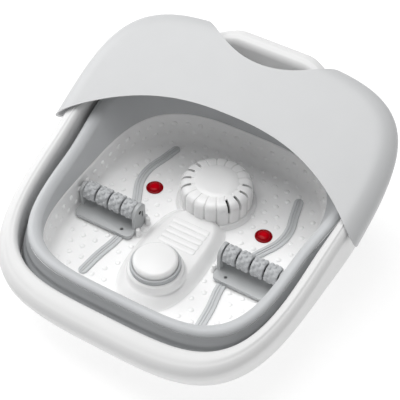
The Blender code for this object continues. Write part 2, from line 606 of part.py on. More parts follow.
def make_well(side, label):
    """Lens, bubble strip and massage roller unit of one foot well."""
    low = FLOOR + GAP
    plan = strip_outline(side)
    strip = [[Vector((point.x, point.y, height)) for point in plan] for height in (low, low + STRIP_HEIGHT)]
    add(f"bubble_strip_{label}", loft(f"bubble_strip_{label}", strip), SOFT_GREY)

    stub = LENS_RADIUS - 3 * MM - GAP
    lens = [(0, 3.6 * MM), (0.5 * LENS_RADIUS, 3 * MM), (0.85 * LENS_RADIUS, 1.6 * MM), (LENS_RADIUS, 0.4 * MM),
            (LENS_RADIUS, 0), (stub, 0), (stub, -5 * MM), (0, -5 * MM)]
    turned(f"infrared_lens_{label}", lens, RED, (side * WELL_X, LENS_Y, low), steps=24)
    led_top = low - 5 * MM - GAP
    name = f"infrared_led_{label}"
    add(name, drum(name, 4 * MM, led_top - 7 * MM, led_top, side * WELL_X, LENS_Y, 3 * MM, 16), RED)

    axis = FLOOR + ROLLER_LIFT
    inner_face = ROLLER_X - ROLLER_SPACE
    outer_face = ROLLER_X + ROLLERS * (ROLLER_LENGTH + ROLLER_SPACE)
    plate_low = low + STRIP_HEIGHT + GAP
    plate_high = plate_low + PLATE_THICKNESS
    front = ROLLER_Y - PLATE_FRONT
    back = ROLLER_Y + PLATE_BACK

    def span(x0, x1):
        return (min(side * x0, side * x1), max(side * x0, side * x1))

    x_low, x_high = span(inner_face - CHEEK, outer_face + CHEEK)
    corner = 7 * MM
    plan = []
    for x, y, start in ((x_high - corner, front + corner, -90), (x_high - 1 * MM, back - 1 * MM, 0),
                        (x_low + 1 * MM, back - 1 * MM, 90), (x_low + corner, front + corner, 180)):
        radius = corner if y < ROLLER_Y else 1 * MM
        for turn in (0, 30, 60, 90):
            swing = math.radians(start + turn)
            plan.append((x + radius * math.cos(swing), y + radius * math.sin(swing)))
    loops = [[Vector((x, y, height)) for x, y in plan] for height in (plate_low, plate_high)]
    name = f"roller_bracket_{label}"
    bracket = add(name, loft(name, loops), ROLLER_GREY)

    def cheek(x0, x1, foot):
        shape = [(ROLLER_Y - CHEEK_RADIUS, foot), (ROLLER_Y + CHEEK_RADIUS, foot)]
        for turn in range(0, 181, 20):
            swing = math.radians(turn)
            shape.append((ROLLER_Y + CHEEK_RADIUS * math.cos(swing), axis + CHEEK_RADIUS * math.sin(swing)))
        return loft("cheek", [[Vector((x, y, z)) for y, z in shape] for x in span(x0, x1)])

    inset = 0.01 * MM
    walls = [cheek(inner_face, inner_face - CHEEK + inset, low), cheek(outer_face + CHEEK - inset, outer_face,
                                                                       plate_low + inset)]
    rib_x = outer_face - 13 * MM
    xs = span(rib_x, rib_x + CHEEK)
    walls.append(box("rib", (xs[0], front + corner, low), (xs[1], back - corner, plate_low + MM)))
    for wall in walls:
        combine(bracket, add(f"{name}_wall", wall, None), "UNION")
    length = outer_face - inner_face + 2 * CHEEK
    middle = side * (inner_face + outer_face) / 2
    turn = (0, math.radians(90), 0)
    for radius, label_text, look, reach in ((AXLE_RADIUS + GAP, "bore", None, length + 20 * MM),
                                            (AXLE_RADIUS, "axle", STEEL, length + 1 * MM)):
        text = f"roller_{label_text}_{label}"
        piece = add(text, drum(text, radius, -reach / 2, reach / 2, sides=16), look, (middle, ROLLER_Y, axis), turn)
        if look is None:
            combine(bracket, piece, "DIFFERENCE")

    half = ROLLER_LENGTH / 2
    rounding = 1.2 * MM
    bore = AXLE_RADIUS + 2 * GAP
    profile = [(bore, half), (ROLLER_RADIUS - rounding, half), (ROLLER_RADIUS, half - rounding),
               (ROLLER_RADIUS, rounding - half), (ROLLER_RADIUS - rounding, -half), (bore, -half)]
    for number in range(ROLLERS):
        x = side * (ROLLER_X + half + number * (ROLLER_LENGTH + ROLLER_SPACE))
        turned(f"roller_{label}_{number + 1}", profile, ROLLER_GREY, (x, ROLLER_Y, axis), turn, closed=True, steps=20)

    stud_x = inner_face - CHEEK - 3.8 * MM
    for number, y in enumerate((ROLLER_Y - 11 * MM, ROLLER_Y + 10 * MM), 1):
        name = f"bracket_stud_{label}_{number}"
        add(name, drum(name, 3.2 * MM, low, low + 11 * MM, side * stud_x, y, 2.6 * MM, 16), WHITE)


make_tub()
make_housing()
make_collar()
make_rim()
make_rest_lugs()
make_guard()
make_console()
make_well(-1, "left")
make_well(1, "right")
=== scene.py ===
"""Looks of a folding foot spa basin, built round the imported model.

Lengths are in metres with the basin's own axes: +Y to the carry handle, +X to the user's right, +Z up.
"""

import math

import bmesh
import bpy
from mathutils import Matrix, Vector


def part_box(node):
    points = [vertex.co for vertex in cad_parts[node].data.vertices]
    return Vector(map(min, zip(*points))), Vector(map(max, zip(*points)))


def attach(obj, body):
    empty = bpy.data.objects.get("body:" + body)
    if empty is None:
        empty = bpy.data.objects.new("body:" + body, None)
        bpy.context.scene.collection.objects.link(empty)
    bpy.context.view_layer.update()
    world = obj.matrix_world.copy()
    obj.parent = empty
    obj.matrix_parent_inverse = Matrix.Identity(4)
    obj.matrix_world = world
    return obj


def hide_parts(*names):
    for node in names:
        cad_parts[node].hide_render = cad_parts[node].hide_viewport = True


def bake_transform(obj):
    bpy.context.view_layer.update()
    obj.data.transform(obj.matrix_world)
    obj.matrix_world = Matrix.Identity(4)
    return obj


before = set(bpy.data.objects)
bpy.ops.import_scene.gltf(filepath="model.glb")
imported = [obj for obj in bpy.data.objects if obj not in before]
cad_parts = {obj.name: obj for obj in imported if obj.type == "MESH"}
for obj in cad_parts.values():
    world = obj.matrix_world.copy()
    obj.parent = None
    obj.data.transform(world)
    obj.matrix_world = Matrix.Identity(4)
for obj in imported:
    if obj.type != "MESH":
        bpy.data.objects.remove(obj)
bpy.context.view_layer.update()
MM = 0.001

# Massage tub
# One white ABS injection moulding: a shallow pan with two foot wells and rows of small dome nubs, moulded in.
# Its flange at the top of the wall is what the soft collar is clamped on.
CENTRE_Y = 5 * MM
TUB_WALL = 2.5 * MM
STATIONS = 240
tub_low, tub_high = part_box("massage_tub")
TUB_FLOOR = tub_low.z + TUB_WALL
TUB_TOP = tub_high.z
TUB_FILLET = 9 * MM
TUB_DRAFT = 1.5 * MM
GAP = 0.3 * MM
CLOUD_SIZE = 45 * MM
SMEAR_SIZE = 12 * MM
HANDLE_REACH = 22 * MM
HANDLE_HALF = 42 * MM
HANDLE_RAMP = 66 * MM
FLARE_LENGTH = 0.85 * (tub_high.y - TUB_WALL - CENTRE_Y)


def ease(value):
    """Smooth step from 0 to 1."""
    value = min(max(value, 0), 1)
    return value * value * (3 - 2 * value)


def quarter_turn(steps, first=0):
    """Sine and cosine at even steps round a quarter turn."""
    turns = [math.pi / 2 * step / steps for step in range(first, steps + 1)]
    return [(math.sin(turn), math.cos(turn)) for turn in turns]


def handle_share(x):
    """How much of the carry handle's reach and height the rim has at one x."""
    return ease((HANDLE_HALF + HANDLE_RAMP - abs(x)) / HANDLE_RAMP)


def wall_line(side, front, back, powers, taper=0.25, flare=0.0, handle=0.0):
    """Plan line that a wall follows: half width, reach each way, corner squareness, then how it widens."""
    return {"side": side, "front": front, "back": back, "powers": powers, "taper": taper, "flare": flare,
            "handle": handle}


def widening(line, along):
    """Factor on a wall line's half width at one distance from its centre."""
    return 1 + line["taper"] * along + line["flare"] * ease(0.3 + along / FLARE_LENGTH)


def trace(line, height, grow=0.0, count=STATIONS):
    """Points round a wall line, grown outwards; height is a number or a function of x and y."""
    points = []
    for step in range(count):
        angle = 2 * math.pi * step / count
        across, along = math.cos(angle), math.sin(angle)
        reach = line["back"] if along >= 0 else line["front"]
        power = line["powers"][1] if along >= 0 else line["powers"][0]
        wide = abs(across / (line["side"] + grow)) ** power
        deep = abs(along / (reach + grow)) ** power
        distance = (wide + deep) ** (-1 / power)
        x = distance * across * widening(line, distance * along)
        y = distance * along + CENTRE_Y + (line["handle"] * handle_share(x) if along > 0 else 0)
        points.append(Vector((x, y, height(x, y) if callable(height) else height)))
    return points


def half_width(line, y, grow=0.0):
    """Half width of a wall line at one y."""
    along = y - CENTRE_Y
    reach = line["back"] if along >= 0 else line["front"]
    power = line["powers"][1] if along >= 0 else line["powers"][0]
    share = max(1 - abs(along / (reach + grow)) ** power, 0)
    return (line["side"] + grow) * share ** (1 / power) * widening(line, along)


def new_object(name, data):
    """A new object in the scene."""
    made = bpy.data.objects.new(name, data)
    bpy.context.scene.collection.objects.link(made)
    return made


def soften(mesh, angle):
    """Smooth shading up to one edge angle, in degrees."""
    mesh.shade_smooth()
    mesh.set_sharp_from_angle(angle=math.radians(angle))


def new_piece(name, bm, angle=35):
    """Keep a bmesh as a piece with outward faces and soft shading up to one edge angle, in degrees."""
    bmesh.ops.recalc_face_normals(bm, faces=bm.faces)
    mesh = bpy.data.meshes.new(name)
    bm.to_mesh(mesh)
    bm.free()
    soften(mesh, angle)
    return new_object(name, mesh)


def moulded_wall(name, loops, ring=True, angle=35):
    """Skin a row of equal loops, closed back on itself as a ring or capped at both ends."""
    bm = bmesh.new()
    rows = [[bm.verts.new(point) for point in loop] for loop in loops]
    pairs = list(zip(rows, rows[1:]))
    if ring:
        pairs.append((rows[-1], rows[0]))
    else:
        bm.faces.new(rows[0])
        bm.faces.new(rows[-1])
    for low, high in pairs:
        for here in range(len(low)):
            after = (here + 1) % len(low)
            bm.faces.new((low[here], low[after], high[after], high[here]))
    return new_piece(name, bm, angle)


def colour(code):
    """Linear RGBA of an sRGB hex value."""
    parts = [int(code[n:n + 2], 16) / 255 for n in (1, 3, 5)]
    return (*[part / 12.92 if part <= 0.04045 else ((part + 0.055) / 1.055) ** 2.4 for part in parts], 1)


def add_node(tree, kind, feeds=None, **settings):
    """Add a node with its settings; feeds gives each input a value or the socket that drives it."""
    node = tree.nodes.new(kind)
    for key, value in settings.items():
        setattr(node, key, value)
    for name, value in (feeds or {}).items():
        if isinstance(value, bpy.types.NodeSocket):
            tree.links.new(value, node.inputs[name])
        else:
            node.inputs[name].default_value = value
    return node


def two_tone(tree, share, first, second):
    """Socket with two sRGB colours mixed by another socket."""
    mix = add_node(tree, "ShaderNodeMix", {"Factor": share}, data_type="RGBA")
    mix.inputs[6].default_value = colour(first)
    mix.inputs[7].default_value = colour(second)
    return mix.outputs[2]


def moulded_plastic(name, base, shade, rough, grain=0.9, depth=0.010, **shader_values):
    """Injection-moulded plastic: faint cloudy colour, uneven gloss and a fine tool-surface grain in mm."""
    material = bpy.data.materials.new(name)
    material.use_nodes = True
    tree = material.node_tree
    shader = tree.nodes["Principled BSDF"]
    place = add_node(tree, "ShaderNodeTexCoord").outputs["Object"]
    cloud = add_node(tree, "ShaderNodeTexNoise", {"Vector": place, "Scale": 1 / CLOUD_SIZE, "Detail": 3.0})
    tree.links.new(two_tone(tree, cloud.outputs["Fac"], base, shade), shader.inputs["Base Color"])
    smear = add_node(tree, "ShaderNodeTexNoise", {"Vector": place, "Scale": 1 / SMEAR_SIZE, "Detail": 4.0})
    gloss = add_node(tree, "ShaderNodeMapRange", {"Value": smear.outputs["Fac"], "To Min": rough - 0.04,
                                                  "To Max": rough + 0.06})
    tree.links.new(gloss.outputs["Result"], shader.inputs["Roughness"])
    grit = add_node(tree, "ShaderNodeTexNoise", {"Vector": place, "Scale": 1 / (grain * MM),
                                                 "Detail": 2.0})
    bump = add_node(tree, "ShaderNodeBump", {"Height": grit.outputs["Fac"], "Strength": 0.35,
                                             "Distance": depth * MM})
    tree.links.new(bump.outputs["Normal"], shader.inputs["Normal"])
    for socket, value in shader_values.items():
        shader.inputs[socket.replace("_", " ")].default_value = value
    return material


def finish_piece(piece, material, body, slot, *nodes):
    """Give a piece its material, the body it rides on, and the solids it stands for; the slot it takes is not
    used.
    """
    if material.name not in piece.data.materials:
        piece.data.materials.append(material)
    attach(piece, body)
    if nodes:
        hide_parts(*nodes)


# Polished ABS: white, with an even gloss softened by a very fine orange peel
white_abs = moulded_plastic("white_gloss_abs", "#EEEEEE", "#E9E9E9", 0.24, grain=1.6, depth=0.006, IOR=1.52)

TUB = wall_line(tub_high.x - TUB_WALL, CENTRE_Y - tub_low.y - TUB_WALL, tub_high.y - TUB_WALL - CENTRE_Y,
                (4.2, 3.2), taper=0)


def tub_section(grow):
    """Loops up one side of the tub wall, from the floor's edge to the flange."""
    loops = []
    radius = TUB_FILLET + grow
    for sine, cosine in quarter_turn(10):
        inset = TUB_DRAFT + radius * (1 - sine)
        loops.append(trace(TUB, TUB_FLOOR - grow + radius * (1 - cosine), grow - inset))
    loops.append(trace(TUB, TUB_TOP - 5 * MM, grow - 0.3 * MM))
    loops.append(trace(TUB, TUB_TOP - 1.2 * MM, grow - 0.2 * MM))
    return loops


tub_inside = tub_section(0)
tub_crown = [trace(TUB, TUB_TOP - 0.3 * MM, 0.4 * MM), trace(TUB, TUB_TOP, 1.2 * MM),
             trace(TUB, TUB_TOP - 0.3 * MM, TUB_WALL - 0.4 * MM)]
tub = moulded_wall("tub_moulding", tub_section(TUB_WALL) + tub_crown[::-1] + tub_inside[::-1], ring=False)
# The tub is the same white ABS in a finer satin, painted brighter than the other mouldings as painted light
# for its brightly lit inside
tub_abs_painted_light = moulded_plastic("white_abs_painted_light", "#FBFBFB", "#F7F7F7", 0.30, grain=1.2, depth=0.01)
finish_piece(tub, tub_abs_painted_light, "base", "white_shell", "massage_tub")

# Massage nubs
# Small domes moulded in one with the tub floor and its curved wall, in rows a thumb's width apart.
# They stay clear of the strips, lenses, roller units and console.
NUB_PITCH = 16.5 * MM
NUB_RADIUS = 3.5 * MM
NUB_HEIGHT = 1.9 * MM
NUB_SINK = 0.4 * MM
NUB_ROW = 0.86 * NUB_PITCH
NUB_FIELD = 300 * MM
STRIP_CLEARANCE = 9.5 * MM
well_nodes = [f"{kind}_{side}" for side in ("left", "right") for kind in ("roller_bracket", "infrared_lens")]
keep_out = [(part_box(node), 3 * MM) for node in well_nodes]
keep_out += [(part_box("console_ridge"), 3 * MM), (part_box("filter_plinth"), -1 * MM)]


def curve_point(a, b, c, d, share):
    """Point part of the way from b to c on the smooth curve through all four."""
    return 0.5 * (2 * b + (c - a) * share + (2 * a - 5 * b + 4 * c - d) * share ** 2
                  + (3 * b - a - 3 * c + d) * share ** 3)


def strip_points(side):
    """Centre line of a bubble strip, from the back of the well to its front."""
    nodes = [(87, 109), (92, 88), (98, 64), (96, 40), (83, 12), (71, -18), (70, -52), (75, -82), (77.5, -109)]
    nodes = [Vector((side * x * MM, y * MM, 0)) for x, y in nodes]
    nodes = [2 * nodes[0] - nodes[1]] + nodes + [2 * nodes[-1] - nodes[-2]]
    path = []
    for four in zip(nodes, nodes[1:], nodes[2:], nodes[3:]):
        path += [curve_point(*four, step / 12) for step in range(12)]
    path.append(nodes[-2])
    return path


strip_paths = {-1: strip_points(-1), 1: strip_points(1)}


def nub_fits(x, y):
    """True where a nub has clear tub floor round it."""
    for (low, high), margin in keep_out:
        if low.x - margin < x < high.x + margin and low.y - margin < y < high.y + margin:
            return False
    for path in strip_paths.values():
        if min((point - Vector((x, y, 0))).length for point in path) < STRIP_CLEARANCE:
            return False
    return True


def set_nubs():
    """Nub places with the way each faces: staggered rows on the floor, then two rows up the wall."""
    places = []
    rows = int(NUB_FIELD / NUB_PITCH)
    for row in range(-rows, rows):
        for column in range(-rows, rows):
            x = (column + 0.5 * (row % 2)) * NUB_PITCH
            y = CENTRE_Y + row * NUB_ROW
            if abs(y - CENTRE_Y) > NUB_FIELD / 2:
                continue
            if abs(x) < half_width(TUB, y) - TUB_FILLET - 3 * MM and nub_fits(x, y):
                places.append((Vector((x, y, TUB_FLOOR - NUB_SINK)), Vector((0, 0, 1))))
    for level, skip in ((TUB_FLOOR + 12 * MM, 0), (TUB_FLOOR + 26 * MM, 0.5)):
        loop = trace(TUB, level, -1 * MM, 960)
        run = skip * NUB_PITCH
        for here, after in zip(loop, loop[1:] + loop[:1]):
            run += (after - here).length
            if run < NUB_PITCH:
                continue
            run -= NUB_PITCH
            ahead = (after - here).normalized()
            inward = Vector((-ahead.y, ahead.x, 0))
            if nub_fits(here.x, here.y):
                places.append((here - inward * NUB_SINK, inward))
    return places


def start_tree(name, **inputs):
    """New geometry tree with a mesh in, a mesh out and more named inputs; gives it and its input sockets."""
    tree = bpy.data.node_groups.new(name, "GeometryNodeTree")
    tree.interface.new_socket("Geometry", in_out="INPUT", socket_type="NodeSocketGeometry")
    for title, kind in inputs.items():
        tree.interface.new_socket(title.replace("_", " "), in_out="INPUT", socket_type=f"NodeSocket{kind}")
    tree.interface.new_socket("Geometry", in_out="OUTPUT", socket_type="NodeSocketGeometry")
    return tree, tree.nodes.new("NodeGroupInput").outputs


def end_tree(tree, copies, material):
    """Make a tree's copies real, smooth and painted, and send them out."""
    real = add_node(tree, "GeometryNodeRealizeInstances", {"Geometry": copies.outputs["Instances"]})
    soft = add_node(tree, "GeometryNodeSetShadeSmooth", {"Geometry": real.outputs["Geometry"]})
    painted = add_node(tree, "GeometryNodeSetMaterial", {"Geometry": soft.outputs["Geometry"],
                                                         "Material": material})
    add_node(tree, "NodeGroupOutput", {"Geometry": painted.outputs["Geometry"]})
    return tree


def nub_tree(name, piece_material):
    """Tree that puts a flattened dome on every point, facing along the point's own direction."""
    tree, given = start_tree(name, Dome_radius="Float", Dome_height="Float")
    ball = add_node(tree, "GeometryNodeMeshUVSphere", {"Segments": 10, "Rings": 8, "Radius": 1.0})
    facing = add_node(tree, "GeometryNodeInputNamedAttribute", {"Name": "facing"}, data_type="FLOAT_VECTOR")
    turn = add_node(tree, "FunctionNodeAlignRotationToVector", {"Vector": facing.outputs[0]}, axis="Z")
    size = add_node(tree, "ShaderNodeCombineXYZ", {"X": given["Dome radius"], "Y": given["Dome radius"],
                                                   "Z": given["Dome height"]})
    spread_out = add_node(tree, "GeometryNodeInstanceOnPoints", {
        "Points": given["Geometry"], "Instance": ball.outputs["Mesh"], "Rotation": turn.outputs["Rotation"],
        "Scale": size.outputs["Vector"]})
    return end_tree(tree, spread_out, piece_material)


def worked_mesh(thing):
    """Mesh of an object after its modifiers."""
    bpy.context.view_layer.update()
    return bpy.data.meshes.new_from_object(thing.evaluated_get(bpy.context.evaluated_depsgraph_get()))


def grow_piece(name, start, tree, sizes):
    """Run a tree on a mesh with its named sizes and keep the result as a plain piece."""
    seed = new_object(f"{name}_start", start)
    modifier = seed.modifiers.new(name, "NODES")
    modifier.node_group = tree
    for item in tree.interface.items_tree:
        if item.in_out == "INPUT" and item.name in sizes:
            modifier[item.identifier] = sizes[item.name]
    mesh = worked_mesh(seed)
    mesh.name = name
    bpy.data.objects.remove(seed, do_unlink=True)
    return new_object(name, mesh)


def marked_points(name, places):
    """A mesh of loose points that each carry the direction they face."""
    mesh = bpy.data.meshes.new(name)
    mesh.from_pydata([place for place, _ in places], [], [])
    facing = mesh.attributes.new("facing", "FLOAT_VECTOR", "POINT")
    for number, (_, direction) in enumerate(places):
        facing.data[number].vector = direction
    return mesh


# The nubs share the tub's material, painted brighter as painted light
nubs = grow_piece("tub_nubs", marked_points("nub_places", set_nubs()), nub_tree("nub_domes", tub_abs_painted_light),
                  {"Dome radius": NUB_RADIUS, "Dome height": NUB_HEIGHT})
finish_piece(nubs, tub_abs_painted_light, "base", "white_shell")

# Bottom housing, feet and what the housing holds
# White ABS bucket screwed under the tub, on four turned rubber pads. The heater plate, air pump, circuit
# board and mains inlet sit inside it, on bosses.
# Soft black rubber: dull, with a slightly dusty grain
foot_rubber = moulded_plastic("black_foot_rubber", "#232323", "#2C2B2A", 0.72, grain=0.5, depth=0.03)
# Dark nylon: even, half-dull engineering plastic
dark_nylon = moulded_plastic("dark_grey_nylon", "#3A3B3C", "#333435", 0.5, grain=0.6, depth=0.02)
# Green solder mask over copper: glossy, with a faint laminate cloud
solder_mask = moulded_plastic("green_solder_mask", "#1C5A33", "#174B2B", 0.3, grain=0.7, depth=0.01)
# Rolled stainless steel sheet: clean metal with short, soft gloss variation
rolled_steel = moulded_plastic("rolled_stainless", "#B9BABC", "#AEB0B3", 0.3, grain=0.4, depth=0.01,
                               Metallic=1.0)
housing_low, housing_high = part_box("bottom_housing")
HOUSING_INSET = 15 * MM
HOUSING_LEAN = 5 * MM
HOUSING_ROUND = 2 * MM


def housing_side(wall):
    """Loops up the housing wall, with the corner at its foot rounded off."""
    low_inset = HOUSING_INSET + HOUSING_LEAN + wall
    loops = [trace(TUB, housing_low.z + wall, -low_inset - HOUSING_ROUND),
             trace(TUB, housing_low.z + wall + 0.3 * HOUSING_ROUND, -low_inset - 0.3 * HOUSING_ROUND),
             trace(TUB, housing_low.z + wall + HOUSING_ROUND, -low_inset)]
    return loops + [trace(TUB, housing_high.z, -HOUSING_INSET - wall)]


housing = moulded_wall("housing_moulding", housing_side(0) + housing_side(TUB_WALL)[::-1], ring=False)
finish_piece(housing, white_abs, "base", "white_shell", "bottom_housing")


def turned(name, profile, place=Matrix.Identity(4), steps=64, closed=False, angle=35):
    """Turn a profile of (radius, height) points about Z, then put it in place."""
    bm = bmesh.new()
    rows = []
    for radius, height in profile:
        count = 1 if radius == 0 else steps
        rows.append([bm.verts.new(place @ Vector((radius * math.cos(2 * math.pi * n / steps),
                                                  radius * math.sin(2 * math.pi * n / steps), height)))
                     for n in range(count)])
    pairs = list(zip(rows, rows[1:]))
    if closed:
        pairs.append((rows[-1], rows[0]))
    for low, high in pairs:
        for n in range(steps):
            corners = [low[n % len(low)], low[(n + 1) % len(low)]]
            corners += [high[(n + 1) % len(high)], high[n % len(high)]]
            bm.faces.new(list(dict.fromkeys(corners)))
    return new_piece(name, bm, angle)


def stepped(radius, height, *steps):
    """Profile points set off from one radius and height by pairs in mm."""
    return [(radius + out * MM, height + up * MM) for out, up in steps]


def middle_of(node):
    """Middle of a solid's box."""
    low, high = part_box(node)
    return (low + high) / 2


def upright_at(node):
    """Place of a turned piece whose axis stands up through the middle of a solid."""
    middle = middle_of(node)
    return Matrix.Translation((middle.x, middle.y, 0))


for number in range(1, 5):
    foot_low, foot_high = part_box(f"rubber_foot_{number}")
    radius = (foot_high.x - foot_low.x) / 2
    tall = foot_high.z
    pad = [(0, tall), (radius, tall)] + stepped(radius, 0, (-0.7, 0.8), (-1.4, 0))
    pad += [(0.6 * radius, 0), (0.55 * radius, 0.5 * MM), (0.45 * radius, 0.5 * MM), (0.4 * radius, 0)]
    pad_turned = turned(f"foot_pad_{number}", pad + [(0, 0)], upright_at(f"rubber_foot_{number}"), 48)
    finish_piece(pad_turned, foot_rubber, "base", "black_rubber", f"rubber_foot_{number}")


def refinish(node, material):
    """Give a solid kept from the model its finished material."""
    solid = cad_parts[node]
    solid.data.materials.clear()
    solid.data.materials.append(material)


refinish("heating_plate", rolled_steel)
refinish("control_board", solder_mask)
for node in ("air_pump", "power_inlet", "filter_basket", "button_switch"):
    refinish(node, dark_nylon)

# Infrared lenses
# Deep red clear acrylic domes pressed into the tub floor over lamps, with a thin clear flange round each.
# Clear dyed acrylic: saturated red body under a hard, sharp gloss, with a faint painted red glow from its
# emission
lens_acrylic_painted_glow = moulded_plastic("deep_red_acrylic_painted_glow", "#B40018", "#98000F", 0.14, grain=2.0, depth=0.004,
                              IOR=1.45, Specular_IOR_Level=0.12, Emission_Color=colour("#B80018"),
                              Emission_Strength=0.12)
# Painted glow and shade: the red is painted brightest at each lens's middle and darker to the edge, alike in
# the left and the right lens
lens_middle = middle_of("infrared_lens_right")
tree = lens_acrylic_painted_glow.node_tree
spot = add_node(tree, "ShaderNodeTexCoord").outputs["Object"]
either = add_node(tree, "ShaderNodeVectorMath", {0: spot}, operation="ABSOLUTE")
offset = add_node(tree, "ShaderNodeVectorMath", {0: either.outputs[0], 1: (lens_middle.x, lens_middle.y, 0)},
                  operation="SUBTRACT")
flat = add_node(tree, "ShaderNodeVectorMath", {0: offset.outputs[0], 1: (1, 1, 0)}, operation="MULTIPLY")
range_out = add_node(tree, "ShaderNodeVectorMath", {0: flat.outputs[0]}, operation="LENGTH")
glow = add_node(tree, "ShaderNodeMapRange", {"Value": range_out.outputs["Value"], "From Min": 1 * MM,
                                              "From Max": 9.5 * MM}, interpolation_type="SMOOTHSTEP")
lens_red_painted_glow = two_tone(tree, glow.outputs["Result"], "#B80010", "#700008")
tree.links.new(lens_red_painted_glow, tree.nodes["Principled BSDF"].inputs["Base Color"])
# Same acrylic in the flange and over the lamp, without the painted glow: darker
red_flange = moulded_plastic("dark_red_acrylic", "#7D0414", "#6B0010", 0.12, grain=2.0, depth=0.004, IOR=1.49)
for side in ("left", "right"):
    lens_low, lens_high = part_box(f"infrared_lens_{side}")
    radius = (lens_high.x - lens_low.x) / 2
    base = TUB_FLOOR + GAP
    rim_level = base + 1 * MM
    dome = [(0, lens_high.z)]
    for sine, cosine in quarter_turn(9, 1)[:-1]:
        dome.append((0.74 * radius * sine, rim_level + (lens_high.z - rim_level) * cosine))
    dome += [(0.76 * radius, base + 0.9 * MM), (0.80 * radius, base + 1.2 * MM), (0.92 * radius, rim_level),
             (radius, base + 0.3 * MM), (radius, base), (0.7 * radius, base), (0.7 * radius, lens_low.z),
             (0, lens_low.z)]
    lens = turned(f"lens_dome_{side}", dome, upright_at(f"infrared_lens_{side}"), 64)
    finish_piece(lens, lens_acrylic_painted_glow, "base", "red_lens", f"infrared_lens_{side}")
    refinish(f"infrared_led_{side}", red_flange)

# Bubble strips
# Satin grey ABS strips laid in an S along each well; two fine lengthwise channels carry the air bubbles.
# Satin ABS: mid grey, soft highlights, light spark-eroded grain
strip_abs = moulded_plastic("satin_grey_abs", "#CDCFD0", "#C6C8CA", 0.42, grain=0.8, depth=0.02)
STRIP_HALF = 5.75 * MM
STRIP_HEIGHT = 2 * MM


def bubble_strip(name, path):
    """A band with rounded shoulders, two channels and round ends, lofted along its centre line."""
    half = [(0.16, 1), (0.20, 0.5), (0.30, 0.5), (0.34, 1), (0.82, 1), (0.94, 0.82), (1, 0.55), (1, 0)]
    section = [(-u, v) for u, v in half[::-1]] + half
    first = (path[0] - path[1]).normalized()
    last = (path[-1] - path[-2]).normalized()
    spots = []
    for end, ahead, sign in ((path[0], first, -1), (path[-1], last, 1)):
        cap = []
        for step in range(1, 9):
            swing = math.radians(86 * step / 8)
            cap.append((end + ahead * STRIP_HALF * math.sin(swing), ahead * sign, math.cos(swing)))
        spots.append(cap)
    middle = []
    for n, point in enumerate(path):
        ahead = (path[min(n + 1, len(path) - 1)] - path[max(n - 1, 0)]).normalized()
        middle.append((point, ahead, 1))
    loops = []
    for point, ahead, width in spots[0][::-1] + middle + spots[1]:
        across = Vector((-ahead.y, ahead.x, 0)) * STRIP_HALF * width
        base = point + Vector((0, 0, TUB_FLOOR + GAP))
        loops.append([base + across * u + Vector((0, 0, v * STRIP_HEIGHT)) for u, v in section])
    return moulded_wall(name, loops, ring=False, angle=40)


for side, label in ((-1, "left"), (1, "right")):
    finish_piece(bubble_strip(f"air_strip_{label}", strip_paths[side]), strip_abs, "base", "strip_grey",
                 f"bubble_strip_{label}")

# Console ridge
# White ABS hump moulded separately and welded on the tub floor between the wells. Its sides sweep down into
# the floor, and a row of low ribs crosses its deck for the feet to rub on.
ridge_low, ridge_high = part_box("console_ridge")
RIDGE_BACK = 34 * MM
RIDGE_MIDDLE = (ridge_low.y + RIDGE_BACK) / 2
RIDGE_REACH = RIDGE_BACK - RIDGE_MIDDLE
RIDGE_HALF = ridge_high.x
RIDGE_RISE = ridge_high.z - TUB_FLOOR
RIDGE_SWEEP = 15 * MM
RIDGE_SKIRT = 3 * MM
loops = []
for step in range(17):
    share = step / 16
    inset = -RIDGE_SKIRT + RIDGE_SWEEP * share
    lift = GAP + (RIDGE_RISE - GAP) * ease(share) ** 0.85
    loop = []
    for n in range(160):
        angle = 2 * math.pi * n / 160
        across, along = math.cos(angle), math.sin(angle)
        power = 2.6 if along < 0 else 3
        deep = abs(along / (RIDGE_REACH - inset)) ** power
        reach = (abs(across / (RIDGE_HALF - inset)) ** power + deep) ** (-1 / power)
        loop.append(Vector((reach * across, RIDGE_MIDDLE + reach * along, TUB_FLOOR + lift)))
    loops.append(loop)
ridge = moulded_wall("ridge_moulding", loops, ring=False)
finish_piece(ridge, white_abs, "base", "white_shell", "console_ridge")

RIB_COUNT = 5
RIB_PITCH = 8.2 * MM
RIB_LENGTH = 50 * MM
RIB_WIDTH = 8.8 * MM
RIB_RISE = 1.0 * MM
RIB_FIRST_Y = -31 * MM


def rib_tree():
    """Tree that lays a row of round-ended bars along Y."""
    tree, given = start_tree("deck_ribs", Count="Int", Pitch="Float", Bar_size="Vector")
    bar = add_node(tree, "GeometryNodeMeshCube", {"Size": (1, 1, 1), "Vertices X": 14})
    soft_bar = add_node(tree, "GeometryNodeSubdivisionSurface", {"Mesh": bar.outputs["Mesh"], "Level": 3})
    step_on = add_node(tree, "ShaderNodeCombineXYZ", {"Y": given["Pitch"]})
    row = add_node(tree, "GeometryNodeMeshLine", {"Count": given["Count"],
                                                  "Offset": step_on.outputs["Vector"]})
    bars = add_node(tree, "GeometryNodeInstanceOnPoints", {
        "Points": row.outputs["Mesh"], "Instance": soft_bar.outputs["Mesh"], "Scale": given["Bar size"]})
    return end_tree(tree, bars, white_abs)


ribs = grow_piece("deck_ribs", bpy.data.meshes.new("rib_start"), rib_tree(),
                  {"Count": RIB_COUNT, "Pitch": RIB_PITCH, "Bar size": (RIB_LENGTH, RIB_WIDTH, 2 * RIB_RISE)})
ribs.data.transform(Matrix.Translation((0, RIB_FIRST_Y, ridge_high.z)))
finish_piece(ribs, white_abs, "base", "white_shell")

